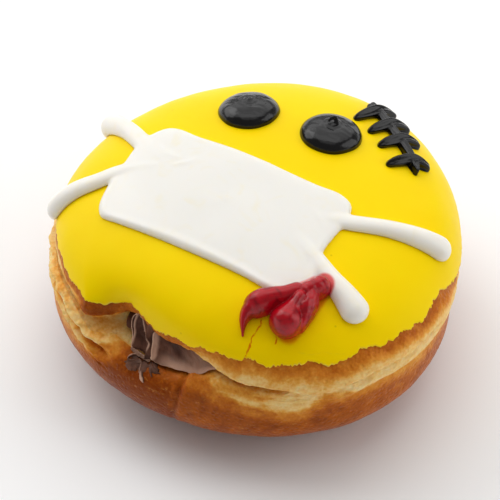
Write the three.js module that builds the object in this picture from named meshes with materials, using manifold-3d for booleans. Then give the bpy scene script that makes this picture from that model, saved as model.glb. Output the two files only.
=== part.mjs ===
// Halloween doughnut: a round filled doughnut with a thin yellow icing, a masked face piped on top
// and chocolate cream that shows in the mouth of the split side.
//
// Lengths are millimetres and +Z is up. The face looks up: its eyes lie towards +Y and the blood
// towards -Y. The origin is the middle of the outline, on the surface that the doughnut rests on.
// A heading is an angle in degrees round the doughnut: 0 points to -Y and 90 points to +X.

import * as THREE from "three";
import { mergeVertices } from "three/addons/utils/BufferGeometryUtils.js";
import Module from "manifold-3d";

const wasm = await Module();
wasm.setup();

const { smoothstep, lerp, degToRad } = THREE.MathUtils;

// Driving dimensions
const doughnutDiameter = 90;
const doughnutHeight = 41.8;
const gap = 0.3;

// The upper half's middle, measured from the middle of the whole outline
const outlineCentre = { x: 0.4, y: -1.3 };

// The upper half of the doughnut: a flattened dome over its widest ring
const lid = {
  radius: doughnutDiameter / 2,
  ringHeight: 23.1,
  rise: doughnutHeight - 23.1,
  fullness: 2.57,
  lobes: [
    { count: 2, size: 0.9, heading: 39.5 },
    { count: 3, size: 1.1, heading: 50 },
  ],
};

// The lower half: a rounder bowl on a small flat foot, a little to the left of the upper half
const base = {
  radius: 43.8,
  ringHeight: 15,
  fullness: 2,
  footRadius: 15,
  lobes: [
    { count: 1, size: 1.6, heading: -55 },
    { count: 2, size: 0.65, heading: 46 },
    { count: 3, size: 0.9, heading: 66 },
  ],
};

// The yellow icing, thinner towards its ragged edge
const icing = { thickness: 0.9, edgeRound: 0.35 };

// The chocolate cream: a layer through the doughnut that swells out of the mouth
const cream = { radius: 30, mouthRadius: 37.9, height: 24.6, halfThickness: 3.2 };

// The white mask: a panel and four straps
const mask = {
  centre: [-5.7, -9.1],
  halfWidth: 25.6,
  halfDepth: 14.9,
  slant: -0.11,
  panelHeight: 1.1,
  rimHeight: 0.55,
  strapHalfWidth: 2,
  strapHeight: 1.7,
};

// The eyes, the stitches and the blood
const eye = { radius: 6.6, height: 2.3, tipHeight: 0.8 };
const stitch = { halfWidth: 1.05, height: 1.5, barHalfWidth: 1.3, barHeight: 2.1 };
const blood = { halfWidth: 2.1, height: 3.1 };

// Facets round the doughnut, finer at the front where the mouth is
const columns = 66;
const frontFineness = 0.6;

// A heading as a level unit vector
function headingVector(heading) {
  const angle = degToRad(heading);
  return new THREE.Vector3(Math.sin(angle), -Math.cos(angle), 0);
}

// The heading of a point
function headingOf(x, y) {
  return THREE.MathUtils.radToDeg(Math.atan2(x, -y));
}

// The heading of a column of facets, from -180 at u = 0 to 180 at u = 1
function headingAt(u) {
  const side = 2 * u - 1;
  return 180 * side * lerp(1, side * side, 1 - frontFineness);
}

// A value that rises to 1 between two headings and falls back between two others
function stretch(heading, riseFrom, riseTo, fallFrom, fallTo) {
  return smoothstep(heading, riseFrom, riseTo) * (1 - smoothstep(heading, fallFrom, fallTo));
}

// A round hump of height 1
function hump(heading, centre, width) {
  return Math.exp(-(((heading - centre) / width) ** 2));
}

// The radius of a ring that is not quite round
function lobed(ring, heading) {
  let radius = ring.radius;
  for (const lobe of ring.lobes) {
    radius += lobe.size * Math.cos(degToRad(lobe.count * (heading - lobe.heading)));
  }
  return radius;
}

// The upper half is set back over the mouth: abruptly at its left end, slowly to the right.
// The set-back grows down the dome's slope, given in radians from its level top
function lidRadius(heading, slope) {
  const recovery = (1 - smoothstep(heading, -30, 80)) ** 1.2;
  const setBack = 6.6 * smoothstep(heading, -34, -25) * recovery;
  return lobed(lid, heading) - setBack * smoothstep(slope, 0.6, 1.35);
}

function baseRadius(heading) {
  const crease = 0.7 * hump(heading, 1.5, 3.2);
  return lobed(base, heading) - crease;
}

// How wide the mouth gapes: 1 in the mouth, 0 where the two halves meet
function gape(heading) {
  return stretch(heading, -31, -25, 0, 18);
}

// The height of the upper half's lower lip
function upperLipHeight(heading) {
  return 22.8 + 5.2 * stretch(heading, -58, -30, -8, 60);
}

// The height of the lower half's upper lip
function lowerLipHeight(heading) {
  return upperLipHeight(heading) - 0.7 - 5.8 * gape(heading) - 0.8 * hump(heading, 27, 14);
}

// The height of the icing's edge, with the waves of its ragged run
function icingEdgeHeight(heading) {
  const front = 2.3 * smoothstep(heading, -36, -22) + 1.2 * smoothstep(heading, -5, 25);
  const waves = 0.35 * Math.sin(degToRad(9 * heading)) + 0.25 * Math.sin(degToRad(16 * heading + 40));
  return 27.2 + 1.2 * hump(heading, -50, 30) + front * (1 - smoothstep(heading, 84, 104)) + waves;
}

// The slope angle on the dome, from 0 at its top to 90 degrees at its widest ring, for a height
function slopeAt(height, inset) {
  const level = (height - lid.ringHeight) / (lid.rise - inset);
  const reach = (1 - level ** lid.fullness) ** (1 / lid.fullness);
  return Math.atan2(reach, level);
}

// Radius and height of the dome, a superellipse drawn in by the inset
function domeProfile(heading, slope, inset) {
  const across = Math.sin(slope);
  const up = Math.cos(slope);
  const size = (across ** lid.fullness + up ** lid.fullness) ** (-1 / lid.fullness);
  const radius = (lidRadius(heading, slope) - inset) * across * size;
  return [radius, lid.ringHeight + (lid.rise - inset) * up * size];
}

// The slope angle on the dome's face for a distance from the middle, found by halving
function slopeUnder(heading, distance) {
  let low = 0;
  let high = 0.999 * Math.PI / 2;
  for (let i = 0; i < 24; i += 1) {
    const middle = (low + high) / 2;
    if (domeProfile(heading, middle, 0)[0] < distance) {
      low = middle;
    } else {
      high = middle;
    }
  }
  return low;
}

// A quarter of a superellipse between two stations, level at the first and upright at the second
function roundOver(first, second, share, fullness) {
  const angle = share * Math.PI / 2;
  const across = Math.sin(angle) ** (2 / fullness);
  const up = Math.cos(angle) ** (2 / fullness);
  return [lerp(first[0], second[0], across), lerp(second[1], first[1], up)];
}

// A closed skin over a grid: u runs round it and v from its first pole to its last
function skin(around, along, place) {
  const geometry = new THREE.SphereGeometry(1, around, along);
  const position = geometry.getAttribute("position");
  const uv = geometry.getAttribute("uv");
  for (let i = 0; i < position.count; i += 1) {
    const point = place(uv.getX(i), 1 - uv.getY(i));
    position.setXYZ(i, point.x, point.y, point.z);
  }
  geometry.deleteAttribute("normal");
  geometry.deleteAttribute("uv");
  return mergeVertices(geometry, 1e-4);
}

function solidOf(geometry) {
  const closed = mergeVertices(geometry, 1e-4);
  return new wasm.Manifold(new wasm.Mesh({
    numProp: 3,
    vertProperties: new Float32Array(closed.getAttribute("position").array),
    triVerts: new Uint32Array(closed.getIndex().array),
  }));
}

function geometryOf(solid) {
  const mesh = solid.getMesh();
  const geometry = new THREE.BufferGeometry();
  geometry.setAttribute("position", new THREE.BufferAttribute(mesh.vertProperties, 3));
  geometry.setIndex(new THREE.BufferAttribute(mesh.triVerts, 1));
  return geometry;
}

function join(solids) {
  return solids.reduce((whole, solid) => whole.add(solid));
}

// Rings of facets down the dough's profile
const rings = { dome: 9, band: 2, lip: 2, shoulder: 5, belly: 7 };

// The dough's profile at a heading: stations of radius and height from the top's middle,
// down the dome, into the crease or the mouth, over the shoulder and the belly to the foot
function doughProfile(heading) {
  const inset = icing.thickness + gap;
  const edge = icingEdgeHeight(heading);
  const lipHeight = upperLipHeight(heading);
  const stations = [];

  // The dome under the icing
  const coveredSlope = slopeAt(edge - 0.1, inset);
  for (let i = 0; i <= rings.dome; i += 1) {
    stations.push(domeProfile(heading, coveredSlope * i / rings.dome, inset));
  }

  // The bare band below the icing swells out to the dome's full reach
  const bandTop = edge - 0.5;
  const bandFoot = lipHeight + Math.min(1.3, 0.5 * (bandTop - lipHeight));
  const fullInset = 0.8 - 1.1 * smoothstep(bandTop - bandFoot, 0, 3);
  for (let i = 0; i < rings.band; i += 1) {
    const share = i / (rings.band - 1);
    const bandInset = lerp(0.9, fullInset, share);
    const slope = slopeAt(lerp(bandTop, bandFoot, share), bandInset);
    stations.push(domeProfile(heading, slope, bandInset));
  }

  // The upper lip rounds in under the band
  const lipTop = stations.at(-1);
  const lipEnd = [lipTop[0] - 1.4, lipHeight];
  for (let i = rings.lip - 1; i >= 0; i -= 1) {
    stations.push(roundOver(lipEnd, lipTop, i / rings.lip, 2));
  }

  // The crease between the halves, which opens into the mouth
  const belly = baseRadius(heading);
  const lowerHeight = lowerLipHeight(heading);
  const lowerLip = [belly - 1.3 - 3.9 * stretch(heading, -31, -25, 4, 30), lowerHeight];
  const depth = 1.6 + 1.8 * stretch(heading, 0, 12, 38, 52);
  const shutEnd = Math.min(lipEnd[0], lowerLip[0]) - depth;
  const creaseEnd = lerp(shutEnd, 33, gape(heading));
  const middle = (lipHeight + lowerHeight) / 2;
  stations.push([creaseEnd, lerp(lipHeight, middle, 0.15)]);
  stations.push([creaseEnd - 0.4, middle]);
  stations.push([creaseEnd, lerp(lowerHeight, middle, 0.15)]);

  // The shoulder, the belly and the foot of the lower half
  const ring = [belly, base.ringHeight];
  for (let i = 0; i <= rings.shoulder; i += 1) {
    stations.push(roundOver(lowerLip, ring, i / rings.shoulder, 2.4));
  }
  for (let i = rings.belly - 1; i >= 0; i -= 1) {
    stations.push(roundOver([base.footRadius, 0], ring, i / rings.belly, base.fullness));
  }
  stations.push([base.footRadius / 2, 0]);
  stations.push([0, 0]);
  return stations;
}

const doughRows = doughProfile(0).length - 1;

function makeDoughOutside() {
  const profiles = new Map();
  return skin(columns, doughRows, (u, v) => {
    const heading = headingAt(u);
    if (!profiles.has(u)) {
      profiles.set(u, doughProfile(heading));
    }
    const [radius, height] = profiles.get(u)[Math.round(v * doughRows)];
    return headingVector(heading).multiplyScalar(radius).setZ(height);
  });
}

// The cream: a lens through the doughnut whose front leans back and is creased in the mouth
function makeCreamLens(grow) {
  return skin(40, 14, (u, v) => {
    const heading = headingAt(u);
    const mouth = stretch(heading, -33, -24, 4, 14);
    const folds = 0.7 * mouth * Math.abs(Math.sin(degToRad(11 * heading)));
    const polar = v * Math.PI;
    const across = Math.sin(polar) ** 0.7;
    const up = Math.sign(Math.cos(polar)) * Math.abs(Math.cos(polar)) ** 0.7;
    const reach = lerp(cream.radius, cream.mouthRadius, mouth) - folds - 0.9 * mouth * up + grow;
    const thickness = cream.halfThickness + 0.2 * mouth * across + grow;
    return headingVector(heading).multiplyScalar(reach * across).setZ(cream.height + thickness * up);
  });
}

// A rounded bead along a route, flat towards the surface that it lies on.
// halfWidth and rise are functions of the share of the route, sink is its depth below the route
function bead(around, along, route, outward, halfWidth, rise, sink) {
  const length = route.getLength();
  return skin(around, along, (u, v) => {
    const share = (1 - Math.cos(v * Math.PI)) / 2;
    const centre = outward(route.getPointAt(share));
    const direction = route.getTangentAt(share);
    const side = new THREE.Vector3().crossVectors(direction, centre.normal).normalize();
    const cap = Math.min(halfWidth(share) / length, 0.5);
    const fromEnd = Math.min(share, 1 - share, cap) / cap;
    const taper = Math.sqrt(1 - (1 - fromEnd) ** 2);
    const angle = 2 * Math.PI * u;
    const up = Math.sin(angle) > 0 ? rise(share) : sink;
    return centre.point.clone()
      .addScaledVector(side, halfWidth(share) * taper * Math.cos(angle))
      .addScaledVector(centre.normal, up * taper * Math.sin(angle));
  });
}

// The icing's outer face at a heading and a slope, and its outward normal
function onIcing(heading, slope) {
  const step = 0.01;
  const [radius, height] = domeProfile(heading, slope, 0);
  const above = domeProfile(heading, Math.max(slope - step, 0), 0);
  const below = domeProfile(heading, slope + step, 0);
  const direction = headingVector(heading);
  const point = direction.clone().multiplyScalar(radius).setZ(height);
  const normal = direction.multiplyScalar(above[1] - below[1]).setZ(below[0] - above[0]).normalize();
  return { point, normal };
}

// The icing's outer face under a plan position
function underPlan(x, y) {
  const heading = headingOf(x, y);
  return onIcing(heading, slopeUnder(heading, Math.hypot(x, y)));
}

// A place near the dome pressed onto the icing along the line from the dome's middle
function pressed(place) {
  const heading = headingOf(place.x, place.y);
  const across = Math.hypot(place.x, place.y) / lobed(lid, heading);
  return onIcing(heading, Math.atan2(across, (place.z - lid.ringHeight) / lid.rise));
}

// A bead of piped icing that lies on the doughnut along plan places, with a height for its rims
function pipedBead(places, halfWidth, rise, around = 8, along = 12, grow = 0, raise = 0) {
  const route = new THREE.CatmullRomCurve3(places.map((place) => {
    const [x, y, z] = place;
    return z === undefined ? underPlan(x, y).point : new THREE.Vector3(x, y, z);
  }), false, "centripetal");
  const lay = (place) => {
    const { point, normal } = pressed(place);
    return { point: point.addScaledVector(normal, gap + 0.4 + raise), normal };
  };
  return bead(around, along, route, lay, (share) => halfWidth(share) + grow,
    (share) => rise(share) - 0.4 + grow, 0.4 + grow);
}

// A closed patch on the icing: outline gives its edge round a centre, relief its height from the middle out
function patch(around, along, centre, outline, relief, grow = 0) {
  return skin(around, along, (u, v) => {
    const share = Math.sin(v * Math.PI);
    const edge = outline(u);
    const length = Math.hypot(edge[0], edge[1]);
    const spread = share * (1 + grow / length);
    const x = centre[0] + edge[0] * spread;
    const y = centre[1] + edge[1] * spread;
    const { point, normal } = underPlan(x, y);
    const top = v < 0.5 ? relief(share) + grow : -grow;
    return point.addScaledVector(normal, gap + top);
  });
}

// The mask's panel: a slanted rounded oblong with a soft raised rim
function makeMaskPanel(grow) {
  const squareness = 7;
  const outline = (u) => {
    const angle = 2 * Math.PI * u;
    const across = Math.cos(angle);
    const up = Math.sin(angle);
    const size = (Math.abs(across) ** squareness + Math.abs(up) ** squareness) ** (-1 / squareness);
    const x = mask.halfWidth * across * size;
    return [x, mask.halfDepth * up * size + mask.slant * x];
  };
  const relief = (share) => {
    const rim = mask.rimHeight * Math.exp(-(((share - 0.86) / 0.08) ** 2));
    return (mask.panelHeight + rim) * Math.sqrt(Math.max(0, 1 - share ** 16));
  };
  return patch(40, 12, mask.centre, outline, relief, grow);
}

// The straps leave the panel's corners and hang over the doughnut's shoulder with rounded ends
const straps = [
  [[-24, -1], [-28, 1.1], [-31.4, 3.6], [-35.2, 6.3], [-39, 9], [-42.6, 11.8, 32.2]],
  [[-27.5, -5], [-29.8, -9], [-31.7, -11], [-35, -11.7], [-38.2, -12.7], [-43.4, -15.8, 29]],
  [[16, -4.6], [21.3, -1.8], [24.7, -0.2], [28.2, 1.1], [34.8, 3.2], [39.9, 5.2]],
  [[15, -11.6], [19.8, -15.5], [23.8, -18.4], [27.4, -20.4], [32.6, -23]],
];

function makeMaskStraps(grow) {
  const club = (share) => mask.strapHalfWidth * (1 + 0.35 * smoothstep(share, 0.5, 0.95));
  const rise = (share) => mask.strapHeight * (1 + 0.35 * smoothstep(share, 0.5, 0.9));
  return straps.map((places) => pipedBead(places, club, rise, 8, 12, grow));
}

function makeMask(grow) {
  return join([makeMaskPanel(grow), ...makeMaskStraps(grow)].map(solidOf));
}

// An eye: a blob with steep sides, a low crown and a small tip where the piping lifted off
function makeEye(centre) {
  const outline = (u) => {
    const angle = 2 * Math.PI * u;
    return [eye.radius * Math.cos(angle), eye.radius * 0.98 * Math.sin(angle)];
  };
  const relief = (share) => {
    const crown = eye.height * (1 - share ** 3.2) ** 0.55;
    return crown + eye.tipHeight * Math.exp(-((share / 0.1) ** 2));
  };
  return patch(22, 14, centre, outline, relief);
}

// The stitches: one seam line and four pointed bars that arch over it
const seamPlaces = [[8, 37.6], [12.3, 34.9], [16.5, 31], [20.7, 27.3], [23.4, 24.6], [26.9, 20]];
const barPlaces = [
  [[8.6, 30], [10.7, 35.2], [13.8, 38.9]],
  [[13.1, 27.3], [15, 32], [18.7, 35]],
  [[16.8, 24], [19, 28.2], [22.8, 31]],
  [[20.8, 19.2], [23.6, 23.3], [27.6, 25]],
];

function makeStitches() {
  const even = (share) => stitch.halfWidth * (1 - 0.6 * smoothstep(share, 0.85, 1));
  const seam = pipedBead(seamPlaces, even, () => stitch.height, 6, 12);
  const solids = [solidOf(seam)];
  for (const places of barPlaces) {
    const pointed = (share) => stitch.barHalfWidth * (0.5 + 0.5 * Math.sin(Math.PI * share));
    const arch = (share) => stitch.barHeight * (0.45 + 0.55 * Math.sin(Math.PI * share));
    solids.push(solidOf(pipedBead(places, pointed, arch, 6, 8)));
  }
  return join(solids);
}

// The blood: two strands run together from a knob on the mask's corner, one into a round drop,
// and a branch curls away to the left and ends in a point
function makeBlood() {
  const wrinkle = (share) => 1 + 0.1 * Math.sin(share * 26);
  const drop = pipedBead(
    [[20.8, -19.6], [20.4, -23], [19.4, -26.4], [18.9, -29.6], [18.6, -33.8]],
    (share) => (1.9 + 1.1 * smoothstep(share, 0.4, 0.75)) * wrinkle(share),
    (share) => blood.height * (0.9 + 0.35 * smoothstep(share, 0.4, 0.8)) * wrinkle(share), 10, 14, 0, 0.3);
  const strand = pipedBead(
    [[22.6, -20], [22, -24], [21.7, -27.4], [20.8, -30.6]],
    (share) => blood.halfWidth * wrinkle(share),
    (share) => 0.8 * blood.height * wrinkle(share), 8, 10, 0, 0.2);
  const branch = pipedBead(
    [[20.4, -23], [16.4, -24.4], [13.7, -26.2], [11.6, -28.4], [11.1, -31.5], [12.4, -37]],
    (share) => blood.halfWidth * wrinkle(share) * (1 - 0.85 * smoothstep(share, 0.5, 1)),
    (share) => blood.height * wrinkle(share) * (1 - 0.8 * smoothstep(share, 0.6, 1)), 10, 14, 0, 0.2);
  return join([drop, strand, branch].map(solidOf)).subtract(makeMask(gap));
}

// The icing: a thin shell over the dome, from the middle of its outer face round its edge to the inner face
function makeIcing() {
  const outerShare = 0.5;
  const along = 22;
  return skin(columns, along, (u, v) => {
    const heading = headingAt(u);
    const outside = v <= outerShare;
    const share = outside ? v / outerShare : (1 - v) / (1 - outerShare);
    const inset = outside ? icing.edgeRound * smoothstep(share, 0.9, 1) : icing.thickness;
    const slope = slopeAt(icingEdgeHeight(heading), 0) * share;
    const [radius, height] = domeProfile(heading, slope, inset);
    return headingVector(heading).multiplyScalar(radius).setZ(height);
  });
}

// A smear of cream that has run out of the mouth over the lower crust
function makeSmear(grow) {
  const route = new THREE.CatmullRomCurve3([
    new THREE.Vector3(-8.4, -35, 23.6),
    new THREE.Vector3(-8.8, -38.6, 22.1),
    new THREE.Vector3(-8.4, -41.4, 20),
    new THREE.Vector3(-7.8, -42.8, 17.8),
  ]);
  const outward = (point) => {
    const normal = headingVector(headingOf(point.x, point.y)).setZ(0.9).normalize();
    return { point, normal };
  };
  const halfWidth = (share) => 3.6 - 0.9 * share;
  return bead(10, 8, route, outward, (share) => halfWidth(share) + grow, () => 0.9 + grow, 0.5 + grow);
}

function makeCream(grow) {
  return solidOf(makeCreamLens(grow)).add(solidOf(makeSmear(grow)));
}

function makeDough() {
  return solidOf(makeDoughOutside()).subtract(makeCream(gap));
}

function finish(colour, roughness) {
  return new THREE.MeshStandardMaterial({ color: colour, roughness, metalness: 0 });
}

function named(name, geometry, material) {
  const mesh = new THREE.Mesh(geometry, material);
  mesh.name = name;
  return mesh;
}

const doughnut = new THREE.Group();
doughnut.position.set(outlineCentre.x, outlineCentre.y, 0);
doughnut.add(named("dough", geometryOf(makeDough()), finish("#b87838", 0.7)));
doughnut.add(named("filling", geometryOf(makeCream(0)), finish("#5e4135", 0.6)));
doughnut.add(named("icing", makeIcing(), finish("#f7dc05", 0.45)));
doughnut.add(named("mask", geometryOf(makeMask(0)), finish("#f0ebe4", 0.35)));
doughnut.add(named("eye_left", makeEye([-13.1, 20.6]), finish("#141012", 0.2)));
doughnut.add(named("eye_right", makeEye([6.3, 21]), finish("#141012", 0.2)));
doughnut.add(named("stitches", geometryOf(makeStitches()), finish("#1d1a1b", 0.25)));
doughnut.add(named("blood", geometryOf(makeBlood()), finish("#a3202b", 0.2)));

export default doughnut;
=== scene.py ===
"""Halloween doughnut: yellow icing, a piped masked face and chocolate cream in its split side.

The forms are worked out in millimetres round the axis of the upper half, with the bottom at height 0, and
go into the frame through to_frame. A heading is an angle in degrees round the doughnut: 0 points to -Y,
where the blood hangs, and 90 points to +X. A slope is an angle in radians down the dome from its top.
"""

import logging
import math
from dataclasses import dataclass, field
from enum import Enum
from typing import Callable

import bpy
import numpy as np
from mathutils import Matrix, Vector


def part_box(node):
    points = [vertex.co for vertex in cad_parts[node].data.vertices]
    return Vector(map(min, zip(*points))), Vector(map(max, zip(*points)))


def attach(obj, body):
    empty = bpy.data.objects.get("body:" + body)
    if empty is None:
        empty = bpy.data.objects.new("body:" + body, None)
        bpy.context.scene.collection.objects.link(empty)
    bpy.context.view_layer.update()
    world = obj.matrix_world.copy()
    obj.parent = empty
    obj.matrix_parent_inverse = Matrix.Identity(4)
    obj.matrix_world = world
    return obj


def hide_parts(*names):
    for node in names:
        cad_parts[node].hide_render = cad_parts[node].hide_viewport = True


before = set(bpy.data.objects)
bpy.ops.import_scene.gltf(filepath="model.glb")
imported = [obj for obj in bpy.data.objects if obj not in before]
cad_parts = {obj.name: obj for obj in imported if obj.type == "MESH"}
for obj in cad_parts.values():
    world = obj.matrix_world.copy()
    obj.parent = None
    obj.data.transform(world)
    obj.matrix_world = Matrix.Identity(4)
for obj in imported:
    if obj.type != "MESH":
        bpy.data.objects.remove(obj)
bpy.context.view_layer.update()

Array = np.ndarray
Colour = tuple[float, float, float, float]
Table = tuple[tuple[float, float], ...]
Stops = tuple[tuple[float, str], ...]
Level = Callable[[Array], Array]
Pattern = Callable[[Array, Array], Array]

log = logging.getLogger("doughnut")

# The upper half's axis in the frame, in millimetres
OUTLINE_CENTRE = np.array([0.4, -1.3, 0.0])
UPRIGHT = np.array([0.0, 0.0, 1.0])
METRE = 1000.0
TINY = 1e-12
BODY = "root"


def to_frame(points: Array) -> Array:
    """Millimetres round the upper half's axis to metres in the frame."""
    return (points + OUTLINE_CENTRE) / METRE


def from_frame(points: Array | Vector) -> Array:
    """Metres in the frame to millimetres round the upper half's axis."""
    return np.array(points) * METRE - OUTLINE_CENTRE


def smoothstep(value: Array, low: float, high: float) -> Array:
    """An S-shaped rise from 0 at low to 1 at high."""
    share = np.clip((value - low) / (high - low), 0.0, 1.0)
    return share * share * (3 - 2 * share)


def stretch(value: Array, rise_from: float, rise_to: float, fall_from: float, fall_to: float) -> Array:
    """A value that rises to 1 between two places and falls back between two others."""
    return smoothstep(value, rise_from, rise_to) * (1 - smoothstep(value, fall_from, fall_to))


def hump(value: Array, centre: float, width: float) -> Array:
    """A round hump of height 1: e to the power of minus the squared distance from the centre in widths."""
    return np.exp(-(((value - centre) / width) ** 2))


def humps(value: Array, table: tuple) -> Array:
    """A sum of round humps, each with its height, centre and width."""
    return sum(height * hump(value, centre, width) for height, centre, width in table)


def lerp(start: Array, end: Array, share: Array) -> Array:
    """A value between two others."""
    return start + (end - start) * share


def through(value: Array, table: Table) -> Array:
    """A smooth curve through a table of places and levels.

    Args:
        value: Where to read the curve.
        table: Pairs of a place and the level there, in rising order of places.

    Returns:
        The levels: cubic spans whose slopes at the places come from both neighbours.
    """
    places, levels = np.array(table).T
    slopes = np.gradient(levels, places)
    span = np.clip(np.searchsorted(places, value) - 1, 0, len(places) - 2)
    width = places[span + 1] - places[span]
    share = np.clip((value - places[span]) / width, 0, 1)
    level = lerp(levels[span], levels[span + 1], share * share * (3 - 2 * share))
    return level + share * (1 - share) * width * ((1 - share) * slopes[span] - share * slopes[span + 1])


def unit(vectors: Array) -> Array:
    """Vectors brought to length 1."""
    return vectors / np.maximum(np.linalg.norm(vectors, axis=-1, keepdims=True), TINY)


def heading_vectors(heading: Array) -> Array:
    """Headings as level unit vectors: x is the sine and y is minus the cosine."""
    angle = np.radians(heading)
    return np.stack([np.sin(angle), -np.cos(angle), np.zeros_like(angle)], axis=-1)


def turned_out(heading: Array, radius: Array, height: Array) -> Array:
    """Points at a heading, a radius and a height."""
    return heading_vectors(heading) * radius[..., None] + UPRIGHT * height[..., None]


def full_turn(columns: int) -> Array:
    """Even angles in radians round a full turn, the last one left out."""
    return np.linspace(0, 2 * math.pi, columns, endpoint=False)


def quarter_turn(rows: int) -> Array:
    """The sine of even angles over a quarter turn: shares from 0 to 1 that crowd together at 1."""
    return np.sin(np.linspace(0, math.pi / 2, rows))


def crowded_ends(count: int) -> Array:
    """Shares from 0 to 1 that crowd together at both ends: half of 1 minus the cosine of half a turn."""
    return (1 - np.cos(np.linspace(0, math.pi, count))) / 2


def heading_of(places: Array) -> Array:
    """The headings of places, in degrees."""
    return np.degrees(np.arctan2(places[..., 0], -places[..., 1]))


def flat(places: tuple) -> Array:
    """Plan places as points at height 0."""
    return np.array([[x, y, 0.0] for x, y in places])


def direction(azimuth: float, elevation: float) -> Vector:
    """The unit vector at an azimuth, from -Y towards +X, and an elevation, both in degrees."""
    turn, lift = math.radians(azimuth), math.radians(elevation)
    return Vector((math.sin(turn) * math.cos(lift), -math.cos(turn) * math.cos(lift), math.sin(lift)))


def headings(columns: int, fineness: float) -> Array:
    """Headings 180 s (f + (1 - f) s squared), with s from -1 to 1: closer in front by the fineness f."""
    side = np.linspace(-1, 1, columns, endpoint=False)
    return 180 * side * lerp(fineness, 1.0, side * side)


def round_over(first: tuple, second: tuple, share: Array, fullness: float) -> tuple[Array, Array]:
    """A quarter of a superellipse between two stations, level at the first and upright at the second.

    Args:
        first: Radius and height where the curve is level.
        second: Radius and height where it is upright.
        share: 0 at the first station and 1 at the second.
        fullness: The superellipse's power, 2 for an ellipse.

    Returns:
        Radius and height: the sine and cosine of a quarter turn times share, to the power 2 / fullness.
    """
    angle = share * math.pi / 2
    across = np.sin(angle) ** (2 / fullness)
    up = np.maximum(np.cos(angle), 0.0) ** (2 / fullness)
    return lerp(first[0], second[0], across), lerp(second[1], first[1], up)


class Grain:
    """Seeded gradient noise and cell noise in space, for relief that has no pattern."""

    # Entries in the tables, and the factors that bring soft noise to about 1 and make its ridges sharp
    ENTRIES = 256
    GAIN = 1.6
    SHARPNESS = 2.2

    def __init__(self, seed: int) -> None:
        """Draws the tables of gradients and offsets.

        Args:
            seed: The seed of the draw.
        """
        draw = np.random.default_rng(seed)
        self.order = np.concatenate([draw.permutation(self.ENTRIES)] * 2)
        self.gradients = unit(draw.normal(size=(self.ENTRIES, 3)))
        self.offsets = draw.random(size=(self.ENTRIES, 3))

    def _hash(self, cell: Array) -> Array:
        """A table entry's number for each cell of space, looked up in the order once for each axis."""
        first, second, third = np.moveaxis(cell % self.ENTRIES, -1, 0)
        return self.order[self.order[self.order[first] + second] + third]

    def soft(self, places: Array, size: float | Array) -> Array:
        """Gradient noise from about -1 to 1: corner gradients dotted with distances, eased between corners.

        Args:
            places: Points in millimetres, in the last axis.
            size: The size of a cell, one for all axes or one for each.

        Returns:
            One value for each point.
        """
        scaled = places / size
        cell = np.floor(scaled).astype(np.int64)
        inside = scaled - cell
        ease = inside ** 3 * (inside * (inside * 6 - 15) + 10)
        total = np.zeros(places.shape[:-1])
        for corner in np.ndindex(2, 2, 2):
            step = np.array(corner)
            gradient = self.gradients[self._hash(cell + step)]
            weight = np.prod(np.where(step == 1, ease, 1 - ease), axis=-1)
            total += weight * np.sum(gradient * (inside - step), axis=-1)
        return total * self.GAIN

    def layered(self, places: Array, size: float | Array, layers: int = 3) -> Array:
        """Sums layers of soft noise, each with half the cell size and half the strength.

        Args:
            places: Points in millimetres, in the last axis.
            size: The first layer's cell size.
            layers: How many layers there are.

        Returns:
            The sum, over the sum of the strengths.
        """
        strengths = 0.5 ** np.arange(layers)
        values = [strength * self.soft(places, np.asarray(size) * strength) for strength in strengths]
        return np.sum(values, axis=0) / strengths.sum()

    def ridged(self, places: Array, size: float | Array) -> Array:
        """Ridges from 0 to 1: one less the absolute layered noise times the sharpness."""
        return np.clip(1 - self.SHARPNESS * np.abs(self.layered(places, size)), 0, 1)

    def cells(self, places: Array, size: float) -> Array:
        """Distance to the nearest scattered seed, in cells: one seed in each cell of space.

        Args:
            places: Points in millimetres, in the last axis.
            size: The size of a cell.

        Returns:
            One distance for each point, from 0 at a seed to about 1.
        """
        scaled = places / size
        cell = np.floor(scaled).astype(np.int64)
        nearest = np.full(places.shape[:-1], np.inf)
        for step in np.ndindex(3, 3, 3):
            neighbour = cell + np.array(step) - 1
            seed = neighbour + self.offsets[self._hash(neighbour)]
            nearest = np.minimum(nearest, np.sum((scaled - seed) ** 2, axis=-1))
        return np.sqrt(nearest)


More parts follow.
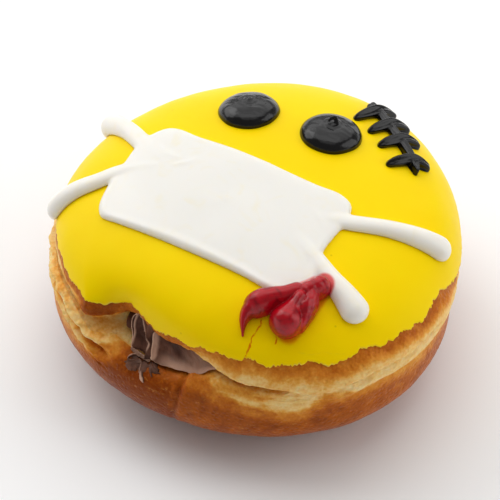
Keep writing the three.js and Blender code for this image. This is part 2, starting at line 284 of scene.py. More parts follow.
@dataclass
class Shape:
    """A closed mesh in millimetres: its points, its faces and values painted on its points."""

    points: Array
    faces: list[Array]
    paint: dict[str, Array] = field(default_factory=dict)

    @classmethod
    def from_grid(cls, grid: Array, paint: dict[str, Array] | None = None) -> "Shape":
        """A closed skin over a grid whose first and last rows are drawn together into poles.

        Args:
            grid: Points in rows from pole to pole and columns round, with no column repeated.
            paint: Values for the same rows and columns.

        Returns:
            The skin: four-sided faces between rows and three-sided ones at the poles.
        """
        rows, columns = grid.shape[:2]
        ring = grid[1:-1].reshape(-1, 3)
        points = np.concatenate([grid[:1].mean(axis=1), ring, grid[-1:].mean(axis=1)])
        index = 1 + np.arange((rows - 2) * columns).reshape(rows - 2, columns)
        after = np.roll(index, -1, axis=1)
        quads = np.stack([index[:-1], index[1:], after[1:], after[:-1]], axis=-1).reshape(-1, 4)
        last = len(points) - 1
        first_fan = np.stack([np.zeros(columns, int), index[0], after[0]], axis=-1)
        last_fan = np.stack([np.full(columns, last), after[-1], index[-1]], axis=-1)
        values = {}
        for name, value in (paint or {}).items():
            spread = np.broadcast_to(value, (rows, columns))
            values[name] = np.concatenate([[spread[0].mean()], spread[1:-1].ravel(), [spread[-1].mean()]])
        return cls(points, [quads, first_fan, last_fan], values)

    @classmethod
    def joined(cls, shapes: list["Shape"]) -> "Shape":
        """Puts several shapes together.

        Args:
            shapes: The shapes, all with the same paint.

        Returns:
            One shape, whose parts are each still closed in themselves.
        """
        starts = np.cumsum([0] + [len(shape.points) for shape in shapes[:-1]])
        faces = [part + start for shape, start in zip(shapes, starts) for part in shape.faces]
        names = shapes[0].paint
        paint = {name: np.concatenate([shape.paint[name] for shape in shapes]) for name in names}
        return cls(np.concatenate([shape.points for shape in shapes]), faces, paint)

    def facing_out(self) -> "Shape":
        """Turns the faces outward if they point inward.

        Returns:
            The shape, whose volume is positive: the sum of the faces' triangles as triple products.
        """
        volume = 0.0
        for part in self.faces:
            corners = self.points[part]
            for turn in range(1, part.shape[1] - 1):
                across = np.cross(corners[:, turn], corners[:, turn + 1])
                volume += float(np.sum(corners[:, 0] * across))
        if volume > 0:
            return self
        return Shape(self.points, [part[:, ::-1] for part in self.faces], self.paint)

    def mesh(self, name: str) -> bpy.types.Mesh:
        """The shape as a smooth mesh in the frame, with its paint as point attributes.

        Args:
            name: The mesh's name.

        Returns:
            The new mesh.
        """
        mesh = bpy.data.meshes.new(name)
        faces = [face for part in self.faces for face in part.tolist()]
        mesh.from_pydata(to_frame(self.points).tolist(), [], faces)
        for key, values in self.paint.items():
            attribute = mesh.attributes.new(key, "FLOAT", "POINT")
            attribute.data.foreach_set("value", values.astype(np.float32))
        mesh.shade_smooth()
        return mesh

    def relaxed(self, rounds: int) -> "Shape":
        """The shape with each point drawn half way to the middle of its neighbours, round after round.

        Args:
            rounds: How many times the points move.

        Returns:
            The smoother shape, with the same faces and paint.
        """
        sides = [np.stack([part, np.roll(part, -1, axis=1)], -1).reshape(-1, 2) for part in self.faces]
        edges = np.concatenate(sides)
        start, end = np.concatenate([edges, edges[:, ::-1]]).T
        count = np.bincount(start, minlength=len(self.points))[:, None]
        points = self.points.copy()
        for _ in range(rounds):
            total = np.stack([np.bincount(start, points[end, axis], len(points)) for axis in range(3)], -1)
            points += 0.5 * (total / count - points)
        return Shape(points, self.faces, self.paint)

    def fused(self, voxel: float) -> "Shape":
        """The overlapping parts melted into one skin by a voxel remesh.

        Args:
            voxel: The size of a voxel in millimetres.

        Returns:
            The fused skin, without paint.
        """
        bare = Shape(self.points, self.faces)
        source = bpy.data.objects.new("fusing", bare.mesh("fusing"))
        bpy.context.scene.collection.objects.link(source)
        remesh = source.modifiers.new("fuse", "REMESH")
        remesh.mode = "VOXEL"
        remesh.voxel_size = voxel / METRE
        dressed = source.evaluated_get(bpy.context.evaluated_depsgraph_get())
        mesh = dressed.to_mesh()
        places = np.empty(len(mesh.vertices) * 3)
        mesh.vertices.foreach_get("co", places)
        corners = np.empty(len(mesh.loops), int)
        mesh.loops.foreach_get("vertex_index", corners)
        counts = np.empty(len(mesh.polygons), int)
        mesh.polygons.foreach_get("loop_total", counts)
        starts = np.cumsum(counts) - counts
        faces = [
            corners[starts[counts == sides][:, None] + np.arange(sides)]
            for sides in np.unique(counts)
        ]
        dressed.to_mesh_clear()
        old = source.data
        bpy.data.objects.remove(source)
        bpy.data.meshes.remove(old)
        return Shape(from_frame(places.reshape(-1, 3)), faces)


def linear(code: str) -> Colour:
    """Turns a colour's code into a shader's values.

    Args:
        code: Six hexadecimal digits after a mark.

    Returns:
        Red, green and blue by the screen colours' curve, and an alpha of 1.
    """
    shares = np.array([int(code[i:i + 2], 16) / 255 for i in (1, 3, 5)])
    values = np.where(shares <= 0.04045, shares / 12.92, ((shares + 0.055) / 1.055) ** 2.4)
    return (*[float(value) for value in values], 1.0)


class Value:
    """A shader socket with arithmetic: each operation adds a Math node."""

    def __init__(self, board: "Board", socket: bpy.types.NodeSocket) -> None:
        """Wraps a socket of a board."""
        self.board = board
        self.socket = socket

    def _math(self, operation: str, first: "Value | float", second: "Value | float") -> "Value":
        """The result of a Math node on two values."""
        node = self.board.node("ShaderNodeMath", {"operation": operation}, {0: first, 1: second})
        return Value(self.board, node.outputs[0])

    def __add__(self, other: "Value | float") -> "Value":
        """Sum."""
        return self._math("ADD", self, other)

    __radd__ = __add__

    def __sub__(self, other: "Value | float") -> "Value":
        """Difference."""
        return self._math("SUBTRACT", self, other)

    def __rsub__(self, other: "Value | float") -> "Value":
        """Difference with the number first."""
        return self._math("SUBTRACT", other, self)

    def __mul__(self, other: "Value | float") -> "Value":
        """Product."""
        return self._math("MULTIPLY", self, other)

    __rmul__ = __mul__

    def highest(self, other: "Value | float") -> "Value":
        """The higher of two values."""
        return self._math("MAXIMUM", self, other)

    def ramp(self, low: float, high: float) -> "Value":
        """A smooth rise over the value.

        Args:
            low: Where the rise starts.
            high: Where it ends.

        Returns:
            0 up to low and 1 from high.
        """
        limits = {"Value": self, "From Min": low, "From Max": high}
        node = self.board.node("ShaderNodeMapRange", {"interpolation_type": "SMOOTHSTEP"}, limits)
        return Value(self.board, node.outputs["Result"])


class Board:
    """The node tree of one material, with its Principled shader."""

    def __init__(self, name: str) -> None:
        """Makes the material.

        Args:
            name: The material's name.
        """
        self.material = bpy.data.materials.new(name)
        self.material.use_nodes = True
        self.tree = self.material.node_tree
        self.tree.nodes.clear()
        self.shader = self.node("ShaderNodeBsdfPrincipled")
        self.node("ShaderNodeOutputMaterial", {}, {"Surface": self.shader.outputs[0]})

    def node(self, kind: str, settings: dict | None = None, inputs: dict | None = None) -> bpy.types.Node:
        """Adds a node.

        Args:
            kind: The node's type.
            settings: Properties to set first; stops gives a colour ramp's places and colours.
            inputs: Values or links for its sockets, by name or by number.

        Returns:
            The new node.
        """
        node = self.tree.nodes.new(kind)
        for name, setting in (settings or {}).items():
            if name == "stops":
                self._set_stops(node.color_ramp, setting)
            else:
                setattr(node, name, setting)
        for name, value in (inputs or {}).items():
            self._feed(node.inputs[name], value)
        return node

    def _feed(self, socket: bpy.types.NodeSocket, value: object) -> None:
        """Links or sets a socket.

        Args:
            socket: The input socket.
            value: A value or a socket to link, or a number, vector or colour to set.
        """
        source = value.socket if isinstance(value, Value) else value
        if isinstance(source, bpy.types.NodeSocket):
            self.tree.links.new(source, socket)
        else:
            socket.default_value = source

    @staticmethod
    def _set_stops(ramp: bpy.types.ColorRamp, stops: Stops) -> None:
        """Fills a colour ramp.

        Args:
            ramp: The ramp.
            stops: Places and colour codes in rising order.
        """
        while len(ramp.elements) < len(stops):
            ramp.elements.new(1.0)
        for element, (place, code) in zip(ramp.elements, stops):
            element.position = place
            element.color = linear(code)

    def painted(self, name: str) -> Value:
        """A value painted on the mesh's points."""
        return Value(self, self.node("ShaderNodeAttribute", {"attribute_name": name}).outputs["Fac"])

    def place(self) -> bpy.types.NodeSocket:
        """The piece's own coordinates in metres."""
        return self.node("ShaderNodeTexCoord").outputs["Object"]

    def vector(self, operation: str, first: object, second: object) -> bpy.types.Node:
        """A Vector Math node on two vectors."""
        return self.node("ShaderNodeVectorMath", {"operation": operation}, {0: first, 1: second})

    def noise(
        self, size: float, detail: float = 2.0, distortion: float = 0.0, stretched: tuple = (1, 1, 1)
    ) -> Value:
        """Cloudy noise on the piece's own coordinates.

        Args:
            size: The size of a cloud in millimetres.
            detail: Layers of finer noise.
            distortion: How far the clouds are dragged about.
            stretched: Factors on the coordinates, over 1 for finer noise along that axis.

        Returns:
            The noise, around one half.
        """
        scaled = self.vector("MULTIPLY", self.place(), stretched).outputs[0]
        inputs = {"Vector": scaled, "Scale": METRE / size, "Detail": detail, "Distortion": distortion}
        return Value(self, self.node("ShaderNodeTexNoise", {}, inputs).outputs["Fac"])

    def specks(self, size: float) -> Value:
        """Distance to scattered points on the piece's own coordinates, in cells of a size in millimetres."""
        node = self.node("ShaderNodeTexVoronoi", {}, {"Vector": self.place(), "Scale": METRE / size})
        return Value(self, node.outputs["Distance"])

    def near_line(self, places: Array, width: float) -> Value:
        """How near a point is to a line that wavers a little: 1 on the line, 0 a width away.

        Args:
            places: Corners of the line in millimetres.
            width: Half the width of the line's mark in millimetres.

        Returns:
            The nearness: each span's distance is that from the point to its foot on the span.
        """
        # The size of the noise that drags the points about, and how far it does, in millimetres
        size, reach = 1.3, 0.9
        inputs = {"Vector": self.place(), "Scale": METRE / size, "Detail": 2.0}
        waver = self.node("ShaderNodeTexNoise", {}, inputs).outputs["Color"]
        shift = self.vector("MULTIPLY", waver, (reach / METRE,) * 3).outputs[0]
        wavering = self.vector("ADD", self.place(), shift).outputs[0]
        corners = to_frame(places + reach / 2)
        nearness = 0.0
        for start, end in zip(corners[:-1], corners[1:]):
            span = end - start
            away = self.vector("SUBTRACT", wavering, tuple(start)).outputs[0]
            dot = self.vector("DOT_PRODUCT", away, tuple(span)).outputs["Value"]
            settings = {"operation": "DIVIDE", "use_clamp": True}
            share = self.node("ShaderNodeMath", settings, {0: dot, 1: float(span @ span)}).outputs[0]
            foot = self.vector("MULTIPLY", tuple(span), share).outputs[0]
            gap = self.vector("DISTANCE", away, foot).outputs["Value"]
            mark = 1 - Value(self, gap).ramp(0.3 * width / METRE, width / METRE)
            nearness = mark.highest(nearness)
        return nearness

    def colours(self, level: Value, stops: Stops) -> bpy.types.NodeSocket:
        """The colour of a level between named stops."""
        return self.node("ShaderNodeValToRGB", {"stops": stops}, {"Fac": level}).outputs["Color"]

    def mix(self, factor: Value | float, first: object, second: object) -> bpy.types.NodeSocket:
        """Mixes two colours.

        Args:
            factor: The share of the second colour.
            first: A colour socket or a colour's code.
            second: A colour socket or a colour's code.

        Returns:
            The mixed colour's socket.
        """
        node = self.node("ShaderNodeMix", {"data_type": "RGBA", "clamp_factor": True})
        self._feed(node.inputs["Factor"], factor)
        for socket, colour in ((node.inputs[6], first), (node.inputs[7], second)):
            self._feed(socket, linear(colour) if isinstance(colour, str) else colour)
        return node.outputs[2]

    def finish(self, settings: dict, relief: Value | None = None, depth: float = 0.1) -> bpy.types.Material:
        """Sets the shader's sockets and its relief.

        Args:
            settings: Values or links for the shader's sockets.
            relief: A height from 0 to 1 for the fine relief.
            depth: The depth of the relief in millimetres.

        Returns:
            The finished material.
        """
        for name, value in settings.items():
            self._feed(self.shader.inputs[name], value)
        if relief is not None:
            bump = self.node("ShaderNodeBump", {}, {"Height": relief, "Distance": depth / METRE})
            self._feed(self.shader.inputs["Normal"], bump.outputs[0])
        return self.material


@dataclass(frozen=True)
class Lobe:
    """One wave round a ring that is not quite round."""

    count: int
    size: float
    heading: float


@dataclass(frozen=True)
class Ring:
    """A ring that is not quite round."""

    radius: float
    lobes: tuple[Lobe, ...]

    def reach(self, heading: Array) -> Array:
        """The radius plus each lobe's size times the cosine of its count times the turn from its heading."""
        waves = [lobe.size * np.cos(np.radians(lobe.count * (heading - lobe.heading))) for lobe in self.lobes]
        return self.radius + np.sum(waves, axis=0)


@dataclass(frozen=True)
class Dome:
    """The icing's outer face: a superellipse over the upper half's widest ring, set back over the mouth."""

    ring: Ring = Ring(45.0, (Lobe(2, 0.9, 39.5), Lobe(3, 1.1, 50.0)))
    ring_height: float = 23.1
    height: float = 41.8
    fullness: float = 2.57
    set_back: float = 6.6

    @property
    def rise(self) -> float:
        """The dome's height over its widest ring."""
        return self.height - self.ring_height

    def reach(self, heading: Array, slope: Array) -> Array:
        """How far the widest ring reaches, less the set-back over the mouth.

        Args:
            heading: Headings in degrees.
            slope: Slopes in radians.

        Returns:
            The reach. The set-back grows down the slope and is recovered slowly to the right.
        """
        recovery = (1 - smoothstep(heading, -30, 80)) ** 1.2
        height = 1 - smoothstep(slope, 0.75, 1.3)
        back = self.set_back * smoothstep(heading, -34 - 18 * height, -25 + 14 * height) * recovery
        return self.ring.reach(heading) - back * smoothstep(slope, 0.6, 1.35)

    def profile(self, heading: Array, slope: Array, inset: Array) -> tuple[Array, Array]:
        """Radius and height on the dome drawn in by an inset.

        Args:
            heading: Headings in degrees.
            slope: Slopes in radians, 0 at the top and a quarter turn at the widest ring.
            inset: How far the dome is drawn in, in millimetres.

        Returns:
            Radius and height: the sine and cosine of the slope times the superellipse's size there.
        """
        across = np.sin(slope)
        up = np.maximum(np.cos(slope), 0.0)
        size = (across ** self.fullness + up ** self.fullness) ** (-1 / self.fullness)
        radius = (self.reach(heading, slope) - inset) * across * size
        return radius, self.ring_height + (self.rise - inset) * up * size

    def slope_at(self, height: Array, inset: Array) -> Array:
        """The slope at a height: its tangent is the superellipse's reach over its level."""
        level = np.clip((height - self.ring_height) / (self.rise - inset), 0.0, 1.0)
        return np.arctan2((1 - level ** self.fullness) ** (1 / self.fullness), level)

    def slope_under(self, heading: Array, distance: Array) -> Array:
        """The slope on the dome at a distance from its axis.

        Args:
            heading: Headings in degrees.
            distance: Level distances from the axis in millimetres.

        Returns:
            Slopes in radians, found by halving the span from 0 to just under a quarter turn.
        """
        steepest, halvings = 0.999 * math.pi / 2, 26
        low = np.zeros_like(distance)
        high = np.full_like(distance, steepest)
        for _ in range(halvings):
            middle = (low + high) / 2
            short = self.profile(heading, middle, 0.0)[0] < distance
            low = np.where(short, middle, low)
            high = np.where(short, high, middle)
        return low

    def surface(self, heading: Array, slope: Array) -> tuple[Array, Array]:
        """Points on the dome and the way out there.

        Args:
            heading: Headings in degrees.
            slope: Slopes in radians.

        Returns:
            Points and outward normals, which stand upright to the profile between two close slopes.
        """
        step = 0.01
        points = turned_out(heading, *self.profile(heading, slope, 0.0))
        above = self.profile(heading, np.maximum(slope - step, 0), 0.0)
        below = self.profile(heading, slope + step, 0.0)
        return points, unit(turned_out(heading, above[1] - below[1], below[0] - above[0]))

    def under_plan(self, plan: Array) -> tuple[Array, Array]:
        """Points and normals on the dome under plan positions."""
        heading = heading_of(plan)
        return self.surface(heading, self.slope_under(heading, np.hypot(plan[..., 0], plan[..., 1])))

    def pressed(self, places: Array) -> tuple[Array, Array]:
        """Lays places near the dome onto it.

        Args:
            places: Points in millimetres.

        Returns:
            Points and outward normals on the dome, at the slope that each place has from the dome's middle.
        """
        heading = heading_of(places)
        across = np.hypot(places[..., 0], places[..., 1]) / self.ring.reach(heading)
        return self.surface(heading, np.arctan2(across, (places[..., 2] - self.ring_height) / self.rise))


def route_through(places: Array, count: int) -> Array:
    """A centripetal Catmull-Rom curve through places.

    Args:
        places: The places, in the last axis.
        count: How many points the result has.

    Returns:
        Points at even distances along the curve: in each span four places are blended pairwise over knots
        that lie the square roots of their distances apart.
    """
    steps = 30
    padded = np.concatenate([[2 * places[0] - places[1]], places, [2 * places[-1] - places[-2]]])
    pieces = []
    for span in range(len(places) - 1):
        corner = padded[span:span + 4]
        gaps = np.sqrt(np.linalg.norm(np.diff(corner, axis=0), axis=1))
        knot = np.concatenate([[0], np.cumsum(gaps)])
        time = np.linspace(knot[1], knot[2], steps)[:, None]
        blend = [corner[i] + (corner[i + 1] - corner[i]) * (time - knot[i]) / gaps[i] for i in range(3)]
        wide = [
            blend[i] + (blend[i + 1] - blend[i]) * (time - knot[i]) / (knot[i + 2] - knot[i])
            for i in range(2)
        ]
        pieces.append(wide[0] + (wide[1] - wide[0]) * (time - knot[1]) / gaps[1])
    curve = np.concatenate(pieces)
    along = np.concatenate([[0], np.cumsum(np.linalg.norm(np.diff(curve, axis=0), axis=1))])
    target = np.linspace(0, along[-1], count)
    return np.stack([np.interp(target, along, curve[:, axis]) for axis in range(3)], axis=-1)


def distance_to(points: Array, line: Array) -> Array:
    """The level distance from points to a line.

    Args:
        points: Points in millimetres.
        line: The line's corners, whose heights don't count.

    Returns:
        The distance from each point to its foot on the nearest span.
    """
    nearest = np.full(points.shape[:-1], np.inf)
    for start, end in zip(line[:-1, :2], line[1:, :2]):
        span = end - start
        away = points[..., :2] - start
        share = np.clip(away @ span / (span @ span), 0, 1)
        nearest = np.minimum(nearest, np.linalg.norm(away - share[..., None] * span, axis=-1))
    return nearest


def bead(
    path: Array, normals: Array, half_width: Array, rise: Array, sink: float, around: int,
    ridges: Pattern | None = None,
) -> Shape:
    """A rounded bead along a path, its section a flat ellipse that is higher than it is deep.

    Args:
        path: Points along the bead, closer together at its ends.
        normals: The way up at each point.
        half_width: Half the bead's width at each point.
        rise: Its height over the path at each point.
        sink: Its depth under the path.
        around: How many points go round it.
        ridges: A factor on the section for the share along the path and the angle round it.

    Returns:
        A closed shape: side times the cosine and up times the sine of the angle round it, drawn in to a
        round end over one half width.
    """
    steps = np.linalg.norm(np.diff(path, axis=0), axis=1)
    along = np.concatenate([[0], np.cumsum(steps)])
    tangent = unit(np.gradient(path, axis=0))
    side = unit(np.cross(tangent, normals))
    cap = np.minimum(half_width, along[-1] / 2)
    from_end = np.clip(np.minimum(along, along[-1] - along) / cap, 0, 1)
    taper = np.sqrt(1 - (1 - from_end) ** 2)[:, None, None]
    angle = full_turn(around)
    share = (along / along[-1])[:, None]
    size = 1.0 if ridges is None else ridges(share, angle[None, :])[..., None]
    up = np.where(np.sin(angle) > 0, rise[:, None], sink)[..., None]
    grid = (
        path[:, None, :]
        + side[:, None, :] * (half_width[:, None, None] * np.cos(angle)[None, :, None]) * taper * size
        + normals[:, None, :] * up * np.sin(angle)[None, :, None] * taper * size
    )
    return Shape.from_grid(grid[:, ::-1])


def leaf(place: Pattern, pale: Pattern, thickness: float, around: int, along: int) -> Shape:
    """A thin closed sheet with rounded corners and a rounded rim.

    Args:
        place: Points on the sheet's middle for shares across and down it.
        pale: How pale it is for the same shares.
        thickness: The sheet's thickness.
        around: How many columns it has.
        along: How many rows each of its faces has.

    Returns:
        The sheet: its middle plus and minus half the thickness along its normal, which shrinks to nothing at
        the rim, over a superellipse of the shares; the paint marks pale places and the rim.
    """
    corner_power, rim_power, step = 8, 10, 1e-3
    rim_paint, rim_start, rim_end = 0.9, 0.955, 0.992
    angle = full_turn(around)[None, :]
    out = quarter_turn(along)[:, None]
    powers = np.abs(np.cos(angle)) ** corner_power + np.abs(np.sin(angle)) ** corner_power
    size = powers ** (-1 / corner_power)
    across = 0.5 + 0.5 * np.cos(angle) * size * out
    down = 0.5 + 0.5 * np.sin(angle) * size * out
    middle = place(across, down)
    along_sheet = place(across + step, down) - place(across - step, down)
    down_sheet = place(across, down + step) - place(across, down - step)
    normal = unit(np.cross(along_sheet, down_sheet))
    half = thickness / 2 * np.sqrt(1 - out ** rim_power)[..., None]
    grid = np.concatenate([middle + normal * half, (middle - normal * half)[-2::-1]])
    paint = np.maximum(pale(across, down), rim_paint * smoothstep(out, rim_start, rim_end))
    return Shape.from_grid(grid, {"edge": np.concatenate([paint, paint[-2::-1]])}).facing_out()


@dataclass(frozen=True)
class Piping:
    """Piped icing that lies on the dome along plan places."""

    dome: Dome
    embed: float = 0.25
    # The height of a stroke's widest part over the icing
    waist: float = 0.15
    # Points worked out along a path before the spacing is set
    samples: int = 400

    def path(self, places: tuple, count: int) -> tuple[Array, Array]:
        """Points and normals along the dome, closer together at the ends.

        Args:
            places: Plan places, or places in space where the dome is steep.
            count: How many points there are.

        Returns:
            Points on the icing and the normals there.
        """
        spots = [
            self.dome.under_plan(np.array(place))[0] if len(place) == 2 else np.array(place)
            for place in places
        ]
        even = route_through(np.array(spots), self.samples)
        even_share = np.linspace(0, 1, self.samples)
        share = crowded_ends(count)
        return self.dome.pressed(np.stack([np.interp(share, even_share, axis) for axis in even.T], -1))

    def stroke(
        self, places: tuple, half_width: Level, rise: Level, around: int = 32, along: int = 90,
        lift: float = 0.0, ridges: Pattern | None = None,
    ) -> Shape:
        """One stroke of piping.

        Args:
            places: Plan places, or places in space where the dome is steep.
            half_width: Half its width for the share of its length.
            rise: Its height over the icing for the share of its length.
            around: How many points go round it.
            along: How many points go along it.
            lift: How far it is lifted off the icing.
            ridges: A factor on its section.

        Returns:
            The stroke as a closed shape.
        """
        points, normals = self.path(places, along)
        share = crowded_ends(along)
        waist = self.waist + lift
        base = points + normals * waist
        height = rise(share) - self.waist
        return bead(base, normals, half_width(share), height, waist + self.embed, around, ridges)

    def patch(self, centre: Array, edge: Level, relief: Pattern, around: int, along: int) -> Shape:
        """A closed patch on the icing.

        Args:
            centre: Its middle, a plan place.
            edge: Its outline round the middle for an angle in radians.
            relief: Its height for the share of the way out and the angle.
            around: How many columns it has.
            along: How many rows its upper face has.

        Returns:
            The patch: a top at the relief's height and a bottom just inside the icing.
        """
        under_share, under_rows = 0.97, 6
        angle = full_turn(around)[None, :]
        outline = edge(angle)
        share = quarter_turn(along)[:, None]
        top = centre + outline * share[..., None]
        points, normals = self.dome.under_plan(top)
        upper = points + normals * relief(share, angle)[..., None]
        coarse = np.linspace(under_share, 0, under_rows)[:, None]
        under, inward = self.dome.under_plan(centre + outline * coarse[..., None])
        return Shape.from_grid(np.concatenate([upper, under - inward * self.embed])[::-1])


class Texture(Enum):
    """What a piped finish shows close up."""

    SMOOTH = "smooth"
    STREAKED = "streaked"


@dataclass(frozen=True)
class PipedFinish:
    """The finish of piped icing: a glossy or satin colour with faint streaks."""

    name: str
    colour: str
    deep: str
    roughness: float
    coat: float
    scatter: float
    specular: float
    texture: Texture
    relief: float
    stain: str = "#DC1C20"

    def material(self) -> bpy.types.Material:
        """Makes the material.

        Returns:
            The finish: the colour with deeper streaks and patches, red where the blood bleeds in.
        """
        board = Board(self.name)
        streaks = board.noise(2.4, 3.0, 1.5)
        fine = board.noise(0.5, 2.0)
        share, spread = (0.0, 6.0) if self.texture is Texture.SMOOTH else (0.6, 2.4)
        patches = board.noise(spread, 2.0, 1.0).ramp(0.52, 0.8)
        base = board.mix(streaks.ramp(0.35, 0.75) * share, self.colour, self.deep)
        base = board.mix(patches * 0.8, base, self.deep)
        colour = board.mix(board.painted("stain"), base, self.stain)
        settings = {
            "Base Color": colour,
            "Roughness": self.roughness + (streaks - 0.5) * (0.04 + 0.25 * share),
            "Specular IOR Level": self.specular,
            "Coat Weight": self.coat,
            "Coat Roughness": 0.08,
            "Subsurface Weight": self.scatter,
            "Subsurface Radius": (1.0, 0.9, 0.75),
            "Subsurface Scale": 0.002,
        }
        return board.finish(settings, streaks * 0.7 + fine * 0.3, self.relief)


WHITE = PipedFinish("white icing", "#EEEAE2", "#EEE6D2", 0.32, 0.15, 0.7, 0.35, Texture.SMOOTH, 0.008)
BLACK = PipedFinish("black icing", "#040203", "#0B090A", 0.2, 0.2, 0.0, 0.26, Texture.STREAKED, 0.09)
RED = PipedFinish("red icing", "#B00618", "#76010E", 0.22, 0.12, 0.1, 0.26, Texture.STREAKED, 0.12)


@dataclass(frozen=True)
class CrustFinish:
    """The fried dough: pale where the halves met, golden, then brown where it lay in the hot oil."""

    stops: Stops = (
        (0.0, "#F8DEA2"),
        (0.2, "#F3C97C"),
        (0.38, "#E6A344"),
        (0.56, "#D28028"),
        (0.76, "#B45C14"),
        (1.0, "#863A08"),
    )
    # The colour of the painted highlights on the brown crust
    painted_glint: str = "#E49A48"

    def material(self) -> bpy.types.Material:
        """Makes the material.

        Returns:
            The finish: the colour of the browning and painted shading, uneven with clouds, freckles and
                fibres,
            with painted highlights standing in for the shine of oil on the brown.
        """
        board = Board("fried dough")
        # The paint holds the dough's browning together with painted shade and painted light
        bake = board.painted("bake")
        clouds = board.noise(7.0, 3.0, 0.6)
        blotches = board.noise(2.0, 4.0, 0.4)
        freckles = board.noise(0.55, 3.0)
        blisters = board.specks(1.1).ramp(0.1, 0.55)
        fibres = board.noise(1.6, 3.0, 0.6, (0.5, 0.5, 1.8))
        mottle = (blotches - 0.5) * 0.42 + (freckles - 0.5) * 0.3
        level = bake + (clouds - 0.5) * 0.34 + mottle + (fibres - 0.5) * (1 - bake) * 0.3
        base = board.colours(level, self.stops)
        # Painted highlights: light golden spots stand in for the shine of oil on the brown
        painted_glints = fibres.ramp(0.52, 0.72) * freckles.ramp(0.45, 0.65) * bake * 0.5
        colour = board.mix(painted_glints, base, self.painted_glint)
        settings = {
            "Base Color": colour,
            "Roughness": 0.56 - bake * 0.2 + (freckles - 0.5) * 0.3,
            "Specular IOR Level": 0.18,
            "Specular Tint": (1.0, 0.6, 0.3, 1.0),
            "Subsurface Weight": 0.2,
            "Subsurface Radius": (1.0, 0.4, 0.1),
            "Subsurface Scale": 0.0015,
        }
        return board.finish(settings, blisters * 0.35 + blotches * 0.35 + freckles * 0.3, 0.3)


@dataclass(frozen=True)
class IcingFinish:
    """The yellow icing: satin, thin and pale along its ragged edge, stained red by cracks from the blood."""

    colour: str = "#FFD800"
    cloud: str = "#FBCE00"
    # Dark olive painted shade for small pits, which have no relief of their own
    pit_shade: str = "#B89600"
    thin: str = "#ECCC6C"
    stain: str = "#D43408"
    crease: str = "#F4D028"

    def material(self, cracks: list[Array], creases: list[Array]) -> bpy.types.Material:
        """The finish as a material.

        Args:
            cracks: Corners of the fine cracks that the red has run into.
            creases: Corners of the bare hairline creases.

        Returns:
            The material.
        """
        board = Board("yellow icing")
        clouds = board.noise(12.0, 2.0)
        grain = board.noise(0.35, 2.0)
        dimples = board.noise(1.6, 2.0)
        pits = board.specks(7.0)
        base = board.mix(clouds.ramp(0.3, 0.7) * 0.2, self.colour, self.cloud)
        # Painted shade: darker specks where small pits would hold shade
        pit_shaded = board.mix((1 - pits.ramp(0.02, 0.05)) * 0.35, base, self.pit_shade)
        colour = board.mix(board.painted("thin"), pit_shaded, self.thin)
        for crease in creases:
            colour = board.mix(board.near_line(crease, 0.2) * 0.35, colour, self.crease)
        for crack in cracks:
            colour = board.mix(board.near_line(crack, 0.24) * 0.8, colour, self.stain)
        colour = board.mix(board.painted("stain"), colour, self.stain)
        settings = {
            "Base Color": colour,
            "Roughness": 0.42 + (grain - 0.5) * 0.1,
            "Specular IOR Level": 0.16,
            "Specular Tint": (1.0, 0.85, 0.08, 1.0),
            "Subsurface Weight": 0.2,
            "Subsurface Radius": (1.0, 0.55, 0.05),
            "Subsurface Scale": 0.0015,
        }
        return board.finish(settings, grain * 0.5 + dimples * 0.5, 0.03)


@dataclass(frozen=True)
class CreamFinish:
    """The chocolate cream: grey-brown and matte, paler and warmer along thin edges, with painted
    highlights in the same pale colour on crests, swells and raised strands.
    """

    colour: str = "#44261A"
    light: str = "#744A38"
    # The pale colour of thin edges and of the painted highlights on crests, swells and raised strands
    edge: str = "#DCAE94"

    def material(self) -> bpy.types.Material:
        """Makes the material.

        Returns:
            The finish: two browns in clouds, mixed with the edge colour by the paint.
        """
        board = Board("chocolate cream")
        clouds = board.noise(3.0, 3.0, 0.8)
        streaks = board.noise(0.7, 3.0, 0.3)
        base = board.mix(clouds.ramp(0.35, 0.7) * 0.7, self.colour, self.light)
        colour = board.mix(board.painted("edge"), base, self.edge)
        settings = {
            "Base Color": colour,
            "Roughness": 0.46 + (streaks - 0.5) * 0.3,
            "Specular IOR Level": 0.15,
            "Subsurface Weight": 0.08,
            "Subsurface Radius": (1.0, 0.6, 0.4),
            "Subsurface Scale": 0.001,
        }
        return board.finish(settings, clouds * 0.4 + streaks * 0.6, 0.12)


def show(name: str, shape: Shape, nodes: tuple[str, ...], material: bpy.types.Material) -> None:
    """Puts a piece into the frame in place of the solid nodes.

    Args:
        name: The piece's name.
        shape: Its form.
        nodes: The solid nodes that it stands for.
        material: Its finish.
    """
    piece = bpy.data.objects.new(name, shape.mesh(name))
    piece.data.materials.append(material)
    bpy.context.scene.collection.objects.link(piece)
    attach(piece, BODY)
    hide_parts(*nodes)
    log.info("%s: %d points", name, len(shape.points))


